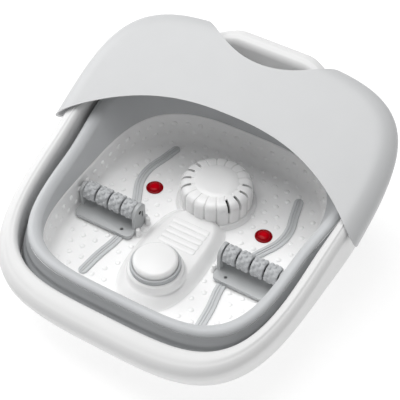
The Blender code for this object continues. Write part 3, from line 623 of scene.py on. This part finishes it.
# Water filter
# A round plinth on the floor carries a slotted white ABS cap that lifts off its basket. The cap's side is
# fluted for grip; a moulded groove runs up each flute's root, and some are cut right through for the water.
plinth_low, plinth_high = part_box("filter_plinth")
cap_low, cap_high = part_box("filter_cap")
CAP_Y = (cap_low.y + cap_high.y) / 2
CAP_RADIUS = (cap_high.x - cap_low.x) / 2
CAP_TALL = cap_high.z - cap_low.z
CAP_FLUTES = 18
FLUTE_DEPTH = 1.5 * MM
GROOVE_HALF = 0.75 * MM
GROOVE_DEPTH = 1.1 * MM
CAP_WALL = 2 * MM
DISC_RADIUS = 25.7 * MM
DISC_STEP = 0.4 * MM
radius = plinth_high.y - (plinth_low.y + plinth_high.y) / 2
plinth_side = [(0, plinth_high.z)] + stepped(radius, plinth_high.z, (-2.2, 0), (-1.4, -0.5), (-1, -1.4))
plinth_side += stepped(radius, plinth_low.z, (0, 1.2), (1.5, 0)) + [(0, plinth_low.z)]
plinth = turned("filter_seat", plinth_side, Matrix.Translation((0, CAP_Y, 0)), 128)
finish_piece(plinth, white_abs, "base", "white_shell", "filter_plinth")


def cap_loop(radius, height, flutes, groove):
    """One ring of the cap: rounded flutes with a narrow groove at each root."""
    loop = []
    count = CAP_FLUTES * 32
    for n in range(count):
        angle = 2 * math.pi * n / count
        off = (angle * CAP_FLUTES / (2 * math.pi) + 0.5) % 1 - 0.5
        distance = abs(off) * 2 * math.pi * radius / CAP_FLUTES
        root = 1 - abs(math.sin(math.pi * off))
        cut = math.exp(-(distance / GROOVE_HALF) ** 4)
        reach = radius - flutes * FLUTE_DEPTH * root ** 2 - groove * GROOVE_DEPTH * cut
        drop = groove * 1.0 * MM * cut * (1 - flutes)
        loop.append(Vector((reach * math.cos(angle), CAP_Y + reach * math.sin(angle),
                            cap_low.z + height - drop)))
    return loop


cap_rows = [(CAP_RADIUS, 0, 1, 1), (CAP_RADIUS, 5 * MM, 1, 1), (CAP_RADIUS, 12 * MM, 1, 1),
            (CAP_RADIUS - 0.1 * MM, CAP_TALL - 11 * MM, 1, 1)]
shoulder = CAP_RADIUS - DISC_RADIUS - 5 * MM
for step in range(1, 9):
    swing = math.radians(90 * step / 8)
    cap_rows.append((CAP_RADIUS - shoulder * (1 - math.cos(swing) ** 0.75), CAP_TALL - 10.4 * MM + 9.8 * MM
                     * math.sin(swing) ** 0.9, 1 - 0.75 * step / 8, 1))
cap_rows += [(DISC_RADIUS + 3 * MM, CAP_TALL - 0.45 * MM, 0.1, 1),
             (DISC_RADIUS + 1.2 * MM, CAP_TALL - DISC_STEP, 0, 0.4),
             (DISC_RADIUS + 0.6 * MM, CAP_TALL - DISC_STEP, 0, 0), (DISC_RADIUS, CAP_TALL, 0, 0),
             (DISC_RADIUS - 8 * MM, CAP_TALL, 0, 0)]
outer_rows = [cap_loop(*row) for row in cap_rows]
inner_rows = [cap_loop(DISC_RADIUS - 8 * MM, CAP_TALL - CAP_WALL, 0, 0),
              cap_loop(DISC_RADIUS + 6 * MM, CAP_TALL - 1.2 * MM - CAP_WALL, 0, 0),
              cap_loop(CAP_RADIUS - 3 * MM - CAP_WALL, CAP_TALL - 9 * MM - CAP_WALL, 0, 0),
              cap_loop(CAP_RADIUS - 1.6 * MM - CAP_WALL, 8 * MM, 0, 0),
              cap_loop(CAP_RADIUS - 1.6 * MM - CAP_WALL, 0, 0, 0)]
cap = moulded_wall("cap_moulding", inner_rows + outer_rows, ring=False)
# Inside of the cap: unpolished ABS painted near-black, as painted shade for the permanent shadow inside it
cap_inside_painted_shade = moulded_plastic("grey_abs_painted_shade", "#2B2C2D", "#242526", 0.65, grain=0.6, depth=0.02)
SLOT_WIDTH = 3.2 * MM


def slot_tree():
    """Tree that cuts an upright slot through the shoulder of the cap at each marked point."""
    tree, given = start_tree("cap_slots", Places="Object", Slot_size="Vector")
    places = add_node(tree, "GeometryNodeObjectInfo", {"Object": given["Places"]})
    facing = add_node(tree, "GeometryNodeInputNamedAttribute", {"Name": "facing"}, data_type="FLOAT_VECTOR")
    turn = add_node(tree, "FunctionNodeAlignRotationToVector", {"Vector": facing.outputs[0]}, axis="X")
    bar = add_node(tree, "GeometryNodeMeshCube", {"Size": given["Slot size"]})
    cutters = add_node(tree, "GeometryNodeInstanceOnPoints", {
        "Points": places.outputs["Geometry"], "Instance": bar.outputs["Mesh"],
        "Rotation": turn.outputs["Rotation"]})
    real = add_node(tree, "GeometryNodeRealizeInstances", {"Geometry": cutters.outputs["Instances"]})
    cut = add_node(tree, "GeometryNodeMeshBoolean", {"Mesh 1": given["Geometry"]}, operation="DIFFERENCE",
                   solver="EXACT")
    tree.links.new(real.outputs["Geometry"], cut.inputs["Mesh 2"])
    add_node(tree, "NodeGroupOutput", {"Geometry": cut.outputs["Mesh"]})
    return tree


slot_places = []
for turn in (-40, -20, 0, 20, 160, 180, 200, 220):
    swing = math.radians(turn)
    out = Vector((math.cos(swing), math.sin(swing), 0))
    sunk = 7 * MM if turn in (-40, -20) else 0
    slot_places.append((Vector((0, CAP_Y, cap_high.z - sunk)) + out * (CAP_RADIUS - 6.5 * MM), out))
marks = new_object("slot_marks", marked_points("slot_marks", slot_places))
cap.data.materials.append(white_abs)
cap_mesh = cap.data
bpy.data.objects.remove(cap, do_unlink=True)
cap = grow_piece("filter_cap_moulding", cap_mesh, slot_tree(),
                 {"Places": marks, "Slot size": (13 * MM, SLOT_WIDTH, 18 * MM)})
bpy.data.objects.remove(marks, do_unlink=True)
cap.data.materials.append(cap_inside_painted_shade)
# The cap's inward faces take the near-black painted-shade material
for face in cap.data.polygons:
    from_axis = Vector((face.center.x, face.center.y - CAP_Y, 0))
    inward = face.normal.dot(from_axis.normalized()) < -0.3 or face.normal.z < -0.3
    if inward and from_axis.length < CAP_RADIUS - 3 * MM:
        face.material_index = 1
finish_piece(cap, white_abs, "cap", "white_shell", "filter_cap")

# Function button
# A stepped white ABS pedestal, a soft grey TPE lip seal, and a domed white push cap big enough for a toe.
# The cap rides on a return spring, so a thin shadow gap shows between it and the seal.
# Thermoplastic elastomer: matt, slightly waxy, very fine grain
seal_tpe = moulded_plastic("light_grey_tpe", "#B9BBBD", "#B0B2B4", 0.55, grain=0.7, depth=0.02)
pedestal_low, pedestal_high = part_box("button_pedestal")
seal_low, seal_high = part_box("button_seal")
push_low, push_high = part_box("function_button")
on_button = upright_at("button_pedestal")
PEDESTAL_EDGE = 5 * MM
PEDESTAL_ROUND = 3.4 * MM
PUSH_EDGE = 5 * MM
PUSH_CROWN = 0.9 * MM
radius = pedestal_high.x
low, high = pedestal_low.z, pedestal_high.z
pedestal_side = [(5 * MM, high), (radius - PEDESTAL_EDGE, high)]
for sine, cosine in quarter_turn(6, 1):
    pedestal_side.append((radius - PEDESTAL_EDGE + PEDESTAL_ROUND * sine,
                          high - PEDESTAL_ROUND * (1 - cosine)))
pedestal_side += stepped(radius, low, (-1.3, 3.5), (-0.6, 1.5), (0.6, 0.4), (1.2, 0)) + [(5 * MM, low)]
pedestal = turned("pedestal_moulding", pedestal_side, on_button, 128, closed=True)
finish_piece(pedestal, white_abs, "base", "white_shell", "button_pedestal")

inner = push_high.x + 0.5 * MM
outer = seal_high.x
low, high = seal_low.z, seal_high.z
lip = stepped(inner, high, (0, -0.5), (0.5, 0)) + stepped(outer, high, (-0.9, 0), (-0.3, -0.4), (0, -1.2))
lip += stepped(outer, low, (0, 1.6), (-0.5, 1.2), (0, 0.8), (0, 0)) + [(inner, low)]
seal = turned("seal_lip", lip, on_button, 128, closed=True)
finish_piece(seal, seal_tpe, "base", "grey_seal", "button_seal")

radius = push_high.x
low, high = pedestal_high.z + 4 * MM, push_high.z
push = [(0, high)]
for step in range(1, 9):
    push.append(((radius - PUSH_EDGE) * step / 8, high - PUSH_CROWN * (step / 8) ** 2))
for sine, cosine in quarter_turn(9, 1):
    push.append((radius - PUSH_EDGE + PUSH_EDGE * sine, high - PUSH_CROWN - 4.6 * MM * (1 - cosine)))
push += [(radius, low), (4 * MM, low), (4 * MM, push_low.z), (0, push_low.z)]
push_cap = turned("push_cap", push, on_button, 128)
finish_piece(push_cap, white_abs, "button", "white_shell", "function_button")

# Massage roller units
# Satin grey ABS brackets clipped on the floor, each with two D-shaped cheeks that hold a steel axle.
# Four nubbed segments turn freely on it; two white studs locate the inner cheek.
bracket_abs = moulded_plastic("bracket_grey_abs", "#B7B9BA", "#B0B2B3", 0.34, grain=0.8, depth=0.015)
# Roller segments: a slightly rubbery grey, so the nubs carry broad soft highlights
roller_abs = moulded_plastic("roller_grey_abs", "#BDBFC1", "#B5B7B9", 0.44, grain=0.9, depth=0.02)
# Ground steel axle, painted near-black as painted shade in the gaps between the roller segments: a metal with
# low, streaked gloss
axle_steel_painted_shade = moulded_plastic("dark_axle_steel_painted_shade", "#2C2D2F", "#242527", 0.35, grain=0.4, depth=0.01,
                             Metallic=1.0)
ROLLER_NUB = 2.7 * MM
CHEEK = 4 * MM
INNER_CHEEK_RADIUS = 11.5 * MM
OUTER_CHEEK_RADIUS = 8.5 * MM
PLATE_LIFT = 2.6 * MM
PLATE_THICK = 4.4 * MM
PLATE_CORNER = 7 * MM
PLATE_BACK_CORNER = 1 * MM
PLATE_EDGE = 0.9 * MM
AXLE_BORE = 2.6 * MM
DRAIN_RADIUS = 2.1 * MM
DRAIN_IN = 15 * MM
DRAIN_AHEAD = 17.5 * MM
SEGMENT_BORE = 2.9 * MM
HUB_STEP = 2.4 * MM
SEGMENT_SHOULDER = 1.5 * MM
NUBS_ROUND = 8
NUB_RINGS = (-0.58, 0, 0.58)


def prism(name, plan, low, high, axis="z"):
    """A straight-sided block: its plan in XY pulled up Z, or its side view in YZ pulled along X."""
    if axis == "z":
        loops = [[Vector((x, y, level)) for x, y in plan] for level in (low, high)]
    else:
        loops = [[Vector((level, y, z)) for y, z in plan] for level in (low, high)]
    return moulded_wall(name, loops, ring=False)


def cut_or_join(target, other, operation):
    """Apply an exact boolean and drop the second shape."""
    change = target.modifiers.new("Join", "BOOLEAN")
    change.operation = operation
    change.solver = "EXACT"
    change.object = other
    settle(target)
    bpy.data.objects.remove(other, do_unlink=True)


def settle(piece):
    """Turn a piece's modifiers into its mesh."""
    mesh = worked_mesh(piece)
    piece.modifiers.clear()
    piece.data = mesh


def round_edges(piece, width, segments=3, angle=40):
    """Round the sharp edges of a piece."""
    bevel = piece.modifiers.new("Round", "BEVEL")
    bevel.width = width
    bevel.segments = segments
    bevel.limit_method = "ANGLE"
    bevel.angle_limit = math.radians(angle)
    bevel.use_clamp_overlap = True
    settle(piece)
    soften(piece.data, 38)


def oblong(y, z, half_y, half_z):
    """Outline of a slot with round ends, upright in YZ."""
    points = []
    for step in range(24):
        swing = 2 * math.pi * step / 24
        end = half_z - half_y if math.sin(swing) >= 0 else half_y - half_z
        points.append((y + half_y * math.cos(swing), z + end + half_y * math.sin(swing)))
    return points


def roller_unit(side, label):
    """Bracket, axle and studs of one well."""
    low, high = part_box(f"roller_bracket_{label}")
    axle_low, axle_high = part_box(f"roller_axle_{label}")
    middle = middle_of(f"roller_axle_{label}")
    axis_y, axis_z = middle.y, middle.z
    plate_low = TUB_FLOOR + PLATE_LIFT
    plate_high = plate_low + PLATE_THICK
    front, back = PLATE_CORNER, PLATE_BACK_CORNER
    plan = []
    for x, y, start, round_off in ((high.x - front, low.y + front, -90, front),
                                   (high.x - back, high.y - back, 0, back),
                                   (low.x + back, high.y - back, 90, back),
                                   (low.x + front, low.y + front, 180, front)):
        steps = 9 if round_off == front else 3
        for n in range(steps + 1):
            swing = math.radians(start + 90 * n / steps)
            plan.append((x + round_off * math.cos(swing), y + round_off * math.sin(swing)))
    bracket = prism(f"bracket_moulding_{label}", plan, plate_low, plate_high)
    for at in (low.x, high.x - CHEEK):
        inner = abs(at + CHEEK / 2) < abs((low.x + high.x) / 2)
        foot = TUB_FLOOR + GAP if inner else plate_low + 0.01 * MM
        reach = INNER_CHEEK_RADIUS if inner else OUTER_CHEEK_RADIUS
        cheek = [(axis_y - reach, foot), (axis_y + reach, foot)]
        for n in range(25):
            swing = math.pi * n / 24
            cheek.append((axis_y + reach * math.cos(swing), axis_z + reach * math.sin(swing)))
        cut_or_join(bracket, prism("cheek", cheek, at + 0.01 * MM, at + CHEEK - 0.01 * MM, "x"), "UNION")
    round_edges(bracket, PLATE_EDGE)
    inner_x = low.x if side > 0 else high.x
    across = sorted((inner_x - side * 1 * MM, inner_x + side * (CHEEK + 1 * MM)))
    keyhole = prism("keyhole", oblong(axis_y + 5 * MM, axis_z - 6 * MM, 1.7 * MM, 5 * MM), *across, "x")
    cut_or_join(bracket, keyhole, "DIFFERENCE")
    for x in (low.x - 1 * MM, high.x - CHEEK - 1 * MM):
        bore_side = oblong(axis_y, axis_z, AXLE_BORE, AXLE_BORE + 0.0001 * MM)
        bore = prism("bore", bore_side, x, x + CHEEK + 2 * MM, "x")
        cut_or_join(bracket, bore, "DIFFERENCE")
    hole_x = inner_x + side * DRAIN_IN
    hole_y = axis_y - DRAIN_AHEAD
    round_hole = [(hole_x + DRAIN_RADIUS * math.cos(math.pi * n / 10),
                   hole_y + DRAIN_RADIUS * math.sin(math.pi * n / 10)) for n in range(20)]
    cut_or_join(bracket, prism("drain", round_hole, plate_low - 1 * MM, plate_high + 1 * MM), "DIFFERENCE")
    soften(bracket.data, 38)
    finish_piece(bracket, bracket_abs, "base", "roller_grey", f"roller_bracket_{label}")

    lengthways = Matrix.Translation(middle) @ Matrix.Rotation(math.radians(90), 4, "Y")
    half = (axle_high.x - axle_low.x) / 2
    radius = (axle_high.z - axle_low.z) / 2
    pin = [(0, half), (radius - 0.5 * MM, half), (radius, half - 0.5 * MM), (radius, 0.5 * MM - half),
           (radius - 0.5 * MM, -half), (0, -half)]
    axle = turned(f"axle_pin_{label}", pin, lengthways, 32)
    finish_piece(axle, axle_steel_painted_shade, "base", "steel", f"roller_axle_{label}")

    for number in (1, 2):
        low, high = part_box(f"bracket_stud_{label}_{number}")
        radius = (high.x - low.x) / 2
        profile = [(0, high.z)] + stepped(radius, high.z, (-1.5, -0.1), (-0.8, -0.6), (-0.5, -1.6))
        profile += stepped(radius, low.z, (-0.1, 1), (0.6, 0)) + [(0, low.z)]
        node = f"bracket_stud_{label}_{number}"
        stud = turned(f"stud_{label}_{number}", profile, upright_at(node), 32)
        finish_piece(stud, white_abs, "base", "white_shell", node)


def roller_segment(label, number, nub_domes):
    """One segment: a barrel with soft shoulders and three staggered rings of domes."""
    low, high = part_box(f"roller_{label}_{number}")
    place = Matrix.Translation((low + high) / 2) @ Matrix.Rotation(math.radians(90), 4, "Y")
    half = (high.x - low.x) / 2
    barrel = (high.z - low.z) / 2 - 1.5 * MM
    profile = [(SEGMENT_BORE, half - HUB_STEP), (0.7 * barrel, half - HUB_STEP),
               (0.72 * barrel, half - 0.7 * MM)]
    for sine, cosine in quarter_turn(6, 1):
        profile.append((barrel - SEGMENT_SHOULDER * (1 - sine), half - 0.6 * MM - 1.1 * MM * (1 - cosine)))
    profile += [(radius, -height) for radius, height in profile[::-1]]
    name = f"roller_segment_{label}_{number}"
    core = turned(name + "_core", profile, place, 48, closed=True)
    places = []
    for ring, along in enumerate(NUB_RINGS):
        for n in range(NUBS_ROUND):
            swing = 2 * math.pi * (n + 0.5 * ring + 0.3 * number) / NUBS_ROUND
            out = Vector((math.cos(swing), math.sin(swing), 0))
            spot = place @ (out * (barrel - 0.5 * MM) + Vector((0, 0, along * half)))
            places.append((spot, place.to_3x3() @ out))
    domes = grow_piece(name, marked_points(name, places), nub_domes,
                       {"Dome radius": ROLLER_NUB, "Dome height": 2.0 * MM})
    bm = bmesh.new()
    bm.from_mesh(core.data)
    bm.from_mesh(domes.data)
    bm.to_mesh(core.data)
    bm.free()
    bpy.data.objects.remove(domes, do_unlink=True)
    soften(core.data, 60)
    core.name = name
    finish_piece(core, roller_abs, f"roller_{label[0]}{number}", "roller_grey", f"roller_{label}_{number}")


roller_domes = nub_tree("roller_domes", roller_abs)
for side, label in ((-1, "left"), (1, "right")):
    roller_unit(side, label)
    for number in range(1, 5):
        roller_segment(label, number, roller_domes)

# Soft collar
# Soft grey TPE moulding that lets the rim fold down. Its band slopes out from the tub flange to a rolled
# crest. Its outer leg hangs from there in shallow pleats to the rim.
# TPE straight from the mould: matt, faintly velvety, with slow tone changes where it is stressed
collar_tpe = moulded_plastic("soft_grey_tpe", "#C9CBCD", "#C2C4C6", 0.50, grain=1.0, depth=0.03,
                             Sheen_Weight=0.15)
COLLAR_SLOPE = 0.13
COLLAR_WALL = 3 * MM
LEG_LENGTH = 43 * MM
LEG_WALL = 2.2 * MM
SMOOTH_STEPS = 5
band_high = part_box("collar_band")[1]
CREST = wall_line(TUB["side"] + 14 * MM, TUB["front"] + 12 * MM, TUB["back"] + 10 * MM, (4.2, 4.0),
                  flare=0.06)
CREST_HEIGHT = band_high.z - COLLAR_SLOPE * (CENTRE_Y + CREST["back"])


def collar_crest(x, y):
    return CREST_HEIGHT + COLLAR_SLOPE * y


def lowered(height, drop):
    """A height function moved down by a fixed drop."""
    return lambda x, y: height(x, y) - drop


def between(first, second, share):
    """Loop part of the way from one loop to another."""
    return [a.lerp(b, share) for a, b in zip(first, second)]


def rolled(loops, closed=True):
    """Fill in a row of loops along a smooth line through each point, for soft rolled shapes."""
    count = len(loops)
    full = []
    for n in range(count if closed else count - 1):
        a = loops[n - 1] if closed or n else loops[0]
        b = loops[n]
        c = loops[(n + 1) % count]
        d = loops[(n + 2) % count] if closed or n + 2 < count else c
        for step in range(SMOOTH_STEPS):
            full.append([curve_point(*four, step / SMOOTH_STEPS) for four in zip(a, b, c, d)])
    if not closed:
        full.append(loops[-1])
    return full


seat = TUB_TOP + GAP
ROLL = 4.2 * MM
foot_in = trace(TUB, seat, 0.6 * MM)
groove = trace(TUB, seat + 1.5 * MM, 0.9 * MM)
shelf = trace(CREST, lowered(collar_crest, 7.2 * MM), -9.5 * MM)
band_loops = [foot_in, groove] + [between(groove, shelf, share / 4) for share in (1, 2, 3)] + [shelf]
band_loops += [trace(CREST, lowered(collar_crest, drop), grow) for drop, grow in (
    (3.2 * MM, -6.5 * MM), (0.9 * MM, -3.2 * MM), (0, 0), (1.5 * MM, 0.75 * ROLL), (5 * MM, ROLL),
    (9 * MM, 0.5 * ROLL), (12 * MM, -2 * MM))]
band_loops += [trace(TUB, seat + 3 * MM, COLLAR_WALL + 1 * MM), trace(TUB, seat, COLLAR_WALL)]
band = moulded_wall("collar_band_moulding", rolled(band_loops), angle=60)
finish_piece(band, collar_tpe, "base", "soft_collar", "collar_band")

RIM_INNER = wall_line(CREST["side"] + 13 * MM, CREST["front"] + 17 * MM, CREST["back"] + 5.5 * MM, (4.1, 4.2),
                      flare=0.024, handle=HANDLE_REACH)
PLEATS = 2
LEG_STEPS = 24
PLEAT_DEPTH = 0.8 * MM
leg_top = trace(CREST, lowered(collar_crest, 6.5 * MM), ROLL - 0.2 * MM)
leg_bend = trace(CREST, lowered(collar_crest, 12 * MM), ROLL - 0.4 * MM)
leg_hem = trace(RIM_INNER, lowered(collar_crest, LEG_LENGTH - 5 * MM), -LEG_WALL - 1.2 * MM)
leg_end = trace(RIM_INNER, lowered(collar_crest, LEG_LENGTH), -LEG_WALL - 0.4 * MM)


def across_leg(share):
    """How far the pleats push the leg outward part of the way down it."""
    return PLEAT_DEPTH * math.sin(2 * math.pi * PLEATS * share) * math.sin(math.pi * share)


def leg_side(wall):
    """Loops down one face of the leg, pleats included."""
    def pushed(loop, push):
        return [point + outward * push for point, outward in zip(loop, leg_out)]

    bend, hem = pushed(leg_bend, wall), pushed(leg_hem, wall)
    loops = [pushed(leg_top, 0.25 * wall), bend]
    for step in range(1, LEG_STEPS):
        share = step / LEG_STEPS
        loops.append(pushed(between(bend, hem, share), across_leg(share)))
    return loops + [hem, pushed(leg_end, wall)]


leg_out = []
for n, point in enumerate(leg_end):
    ahead = leg_end[(n + 1) % STATIONS] - leg_end[n - 1]
    leg_out.append(Vector((ahead.y, -ahead.x, 0)).normalized())
leg = moulded_wall("collar_leg_moulding", leg_side(0) + leg_side(LEG_WALL)[::-1], angle=60)
# Same elastomer in the pleated leg, rougher, and painted a shade deeper as painted shade for the gap it hangs
# in
pleat_tpe_painted_shade = moulded_plastic("pleated_grey_tpe_painted_shade", "#B8BABC", "#B0B2B4", 0.55, grain=1.0, depth=0.04)
leg.data.materials.append(pleat_tpe_painted_shade)
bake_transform(leg)
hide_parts("collar_leg")

# Rim frame
# White ABS channel, open below, that carries the basin when it is lifted: broad and gently crowned in front,
# narrow at the sides, and raised into the carry handle at the back. The collar's hem is screwed on inside it.
RIM_ROUND = 8 * MM
RIM_SLOPE = 0.24
RIM_WALL = 2.6 * MM
RIM_CROWN = 3.2 * MM
HANDLE_RISE = 10 * MM
SKIRT_LEAN = 11 * MM
rim_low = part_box("rim_frame")[0]
RIM = wall_line(RIM_INNER["side"] + 19 * MM, RIM_INNER["front"] + 28.5 * MM, RIM_INNER["back"] + 21 * MM,
                (3.8, 4.2), handle=HANDLE_REACH)
RIM_HEIGHT = TUB_FLOOR + 90 * MM


def rim_crest(x, y):
    """Top of the rim, with its extra height where it forms the carry handle."""
    return RIM_HEIGHT + RIM_SLOPE * y + HANDLE_RISE * handle_share(x) * ease(2 * y / RIM["back"] - 1)


foot_loop = trace(RIM, rim_low.z + 0.6 * MM, -SKIRT_LEAN + 0.5 * MM)
rim_loops = [trace(RIM, rim_low.z, -SKIRT_LEAN), foot_loop]
waist = trace(RIM, lowered(rim_crest, 2 * RIM_ROUND), -1 * MM)
rim_loops += [between(foot_loop, waist, share / 4) for share in (1, 2, 3)] + [waist]
for sine, cosine in quarter_turn(10):
    rim_loops.append(trace(RIM, lowered(rim_crest, RIM_ROUND * (1 - sine)), -RIM_ROUND * (1 - cosine)))
outer_edge = trace(RIM, rim_crest, -RIM_ROUND)
inner_edge = trace(RIM_INNER, rim_crest, 0.8 * RIM_ROUND)
for step in range(1, 6):
    share = step / 6
    crown = Vector((0, 0, RIM_CROWN * share * (1 - share)))
    rim_loops.append([point + crown for point in between(outer_edge, inner_edge, share)])
for sine, cosine in quarter_turn(10):
    level = lowered(rim_crest, RIM_ROUND * (1 - cosine))
    rim_loops.append(trace(RIM_INNER, level, 0.8 * RIM_ROUND * (1 - sine)))
rim_loops += [trace(line, lowered(top, drop), grow) for line, top, drop, grow in (
    (RIM_INNER, collar_crest, LEG_LENGTH, 0), (RIM_INNER, collar_crest, LEG_LENGTH, RIM_WALL),
    (RIM_INNER, rim_crest, RIM_ROUND + RIM_WALL, RIM_WALL), (RIM_INNER, rim_crest, RIM_WALL, RIM_ROUND),
    (RIM, rim_crest, RIM_WALL, -RIM_ROUND - 1 * MM), (RIM, rim_crest, RIM_ROUND + RIM_WALL, -RIM_WALL),
    (RIM, rim_crest, 2 * RIM_ROUND + RIM_WALL, -RIM_WALL - 1 * MM))]
rim_loops.append(trace(RIM, rim_low.z, -SKIRT_LEAN - RIM_WALL))
rim = moulded_wall("rim_moulding", rim_loops)
# Same white ABS, a little less bright and more satin than the tub: painted darker as painted shade on the rim
rim_abs_painted_shade = moulded_plastic("white_abs_rim_painted_shade", "#E2E2E2", "#DEDEDE", 0.36, grain=0.7, depth=0.012)
finish_piece(rim, rim_abs_painted_shade, "rim", "white_shell", "rim_frame")
refinish("collar_clamp", rim_abs_painted_shade)
for number in range(1, 5):
    refinish(f"clamp_screw_{number}", rolled_steel)
    refinish(f"rest_lug_{number}", rim_abs_painted_shade)

# Splash guard
# Light grey satin ABS hood over the back of the basin. It hooks over the rim on four ribs, and its front edge
# sweeps round in one curve with the wall's thickness showing as a thin bright line.
# Satin ABS: cool light grey, broad soft highlights over a fine spark-eroded grain
guard_abs = moulded_plastic("cool_grey_satin_abs", "#C6C7C8", "#C2C3C4", 0.38, grain=0.7, depth=0.015)
GUARD_WALL = 2.5 * MM
GUARD_HEIGHT = TUB_FLOOR + 94 * MM
GUARD_SLOPE = 0.36
GUARD_SKIRT = TUB_FLOOR + 55 * MM
GUARD_LEAN = 9 * MM
GUARD_SHOULDER_IN = 25 * MM
GUARD_SHOULDER_DROP = 20 * MM
GUARD_TOP_REACH = 60 * MM
EDGE_Y = 85 * MM
EDGE_SWEEP = 102 * MM
EDGE_POWER = 2.45
EDGE_SHEAR = 0.84
NOTCH_Y = 154 * MM
NOTCH_DEPTH = 36 * MM
NOTCH_HALF = 90 * MM
NOTCH_SHEAR = 0.15
GUARD_STANDOFF = 11.5 * MM
GUARD = wall_line(RIM["side"] + GUARD_STANDOFF, RIM["front"] + GUARD_STANDOFF, RIM["back"] + GUARD_STANDOFF,
                  (3.8, 4.0), taper=0.15)


def guard_top(x, y):
    return GUARD_HEIGHT + GUARD_SLOPE * max(y, 0)


def guard_face(wall):
    """Loops from the guard's lower edge up its side, over the shoulder and in across the top."""
    loops = [trace(GUARD, GUARD_SKIRT, -GUARD_LEAN - wall)]
    for drop, inset in ((40, 3.2), (32, 1.2), (26, 0.35)):
        loops.append(trace(GUARD, lowered(guard_top, drop * MM), -inset * MM - wall))
    for step in range(15):
        swing = math.radians(90 * step / 14)
        inset = GUARD_SHOULDER_IN * (1 - math.cos(swing) ** 0.92)
        drop = (GUARD_SHOULDER_DROP - 0.4 * wall) * (1 - math.sin(swing) ** 0.92)
        loops.append(trace(GUARD, lowered(guard_top, drop + wall), -inset - wall * (1 - step / 14)))
    loops.append(trace(GUARD, lowered(guard_top, wall), -GUARD_TOP_REACH))
    loops.append(trace(GUARD, lowered(guard_top, wall), -0.62 * GUARD["side"]))
    return loops


guard = moulded_wall("guard_moulding", guard_face(GUARD_WALL)[::-1] + guard_face(0))


def trim_guard(name, plan, start_y, shear, rise):
    """Cut the guard to a swept edge with a block that leans as it rises."""
    level = guard_top(0, start_y)
    loops = [[Vector((x, y + shear * (height - level), height)) for x, y in plan]
             for height in (GUARD_SKIRT - 30 * MM, level + rise)]
    cut_or_join(guard, moulded_wall(name, loops, ring=False), "DIFFERENCE")


reach = GUARD["side"] + 40 * MM
plan = []
for step in range(121):
    x = reach * (step / 60 - 1)
    plan.append((x, EDGE_Y - EDGE_SWEEP * abs(x / (RIM["side"] + 10 * MM)) ** EDGE_POWER))
plan += [(reach, -RIM["front"] - reach), (-reach, -RIM["front"] - reach)]
trim_guard("edge_trim", plan, EDGE_Y, -EDGE_SHEAR, 90 * MM)
plan = []
for step in range(61):
    x = NOTCH_HALF * (step / 30 - 1)
    plan.append((x, NOTCH_Y + NOTCH_DEPTH * (x / NOTCH_HALF) ** 2))
plan += [(NOTCH_HALF, GUARD["back"] + reach), (-NOTCH_HALF, GUARD["back"] + reach)]
trim_guard("notch_trim", plan, NOTCH_Y, NOTCH_SHEAR, 60 * MM)
soften(guard.data, 35)
guard.data.materials.clear()
finish_piece(guard, guard_abs, "guard", "cool_grey_shell", "splash_guard")
for number in range(1, 5):
    refinish(f"guard_rib_{number}", guard_abs)

# Studio
# Pale floor under the basin, one broad soft light overhead, a weaker one from the left.
floor_paint = bpy.data.materials.new("pale_studio_floor")
floor_paint.use_nodes = True
tree = floor_paint.node_tree
shader = tree.nodes["Principled BSDF"]
spot = add_node(tree, "ShaderNodeTexCoord").outputs["Object"]
dust = add_node(tree, "ShaderNodeTexNoise", {"Vector": spot, "Scale": 6.0, "Detail": 2.0})
tree.links.new(two_tone(tree, dust.outputs["Fac"], "#A4A4A4", "#9E9E9E"), shader.inputs["Base Color"])
shader.inputs["Roughness"].default_value = 0.9
shader.inputs["Emission Color"].default_value = colour("#FFFFFF")
shader.inputs["Emission Strength"].default_value = 0.76
bm = bmesh.new()
bmesh.ops.create_grid(bm, x_segments=1, y_segments=1, size=6)
sweep = new_piece("studio_floor", bm)
sweep.data.transform(Matrix.Translation((0, 0, -0.5 * MM)))
sweep.data.materials.append(floor_paint)

world = bpy.data.worlds.new("studio_air")
bpy.context.scene.world = world
world.use_nodes = True
air = world.node_tree.nodes["Background"]
air.inputs["Color"].default_value = colour("#FFFFFF")
air.inputs["Strength"].default_value = 0.40


def soft_box(name, place, aim, size, power):
    """A square area light aimed at a point."""
    light = bpy.data.lights.new(name, "AREA")
    light.shape = "SQUARE"
    light.size = size
    light.energy = power
    lamp = new_object(name, light)
    lamp.location = place
    lamp.rotation_euler = (Vector(aim) - Vector(place)).to_track_quat("-Z", "Y").to_euler()


soft_box("key_light", (-0.35, 0.1, 1.7), (0, 0, 0.08), 1.3, 18)
soft_box("left_light", (-1.3, 0.1, 0.9), (0, 0, 0.08), 1.0, 8)

CAMERA_AZIMUTH = math.radians(31)
CAMERA_TILT = math.radians(47.4)
CAMERA_DISTANCE = 1.32
aim = Vector((0, 0, 0.119))
level_reach = math.cos(CAMERA_TILT)
sight = Vector((math.sin(CAMERA_AZIMUTH) * level_reach, -math.cos(CAMERA_AZIMUTH) * level_reach,
                math.sin(CAMERA_TILT)))
lens = bpy.data.cameras.new("camera")
lens.sensor_width = 36
lens.lens = 105.39
lens.shift_x = 0.02425
lens.shift_y = -0.028
lens.clip_end = 20
camera = bpy.data.objects.new("camera", lens)
camera.location = aim + CAMERA_DISTANCE * sight
camera.rotation_euler = (-sight).to_track_quat("-Z", "Y").to_euler()
bpy.context.scene.collection.objects.link(camera)
bpy.context.scene.camera = camera
bpy.context.scene.view_settings.view_transform = "Standard"
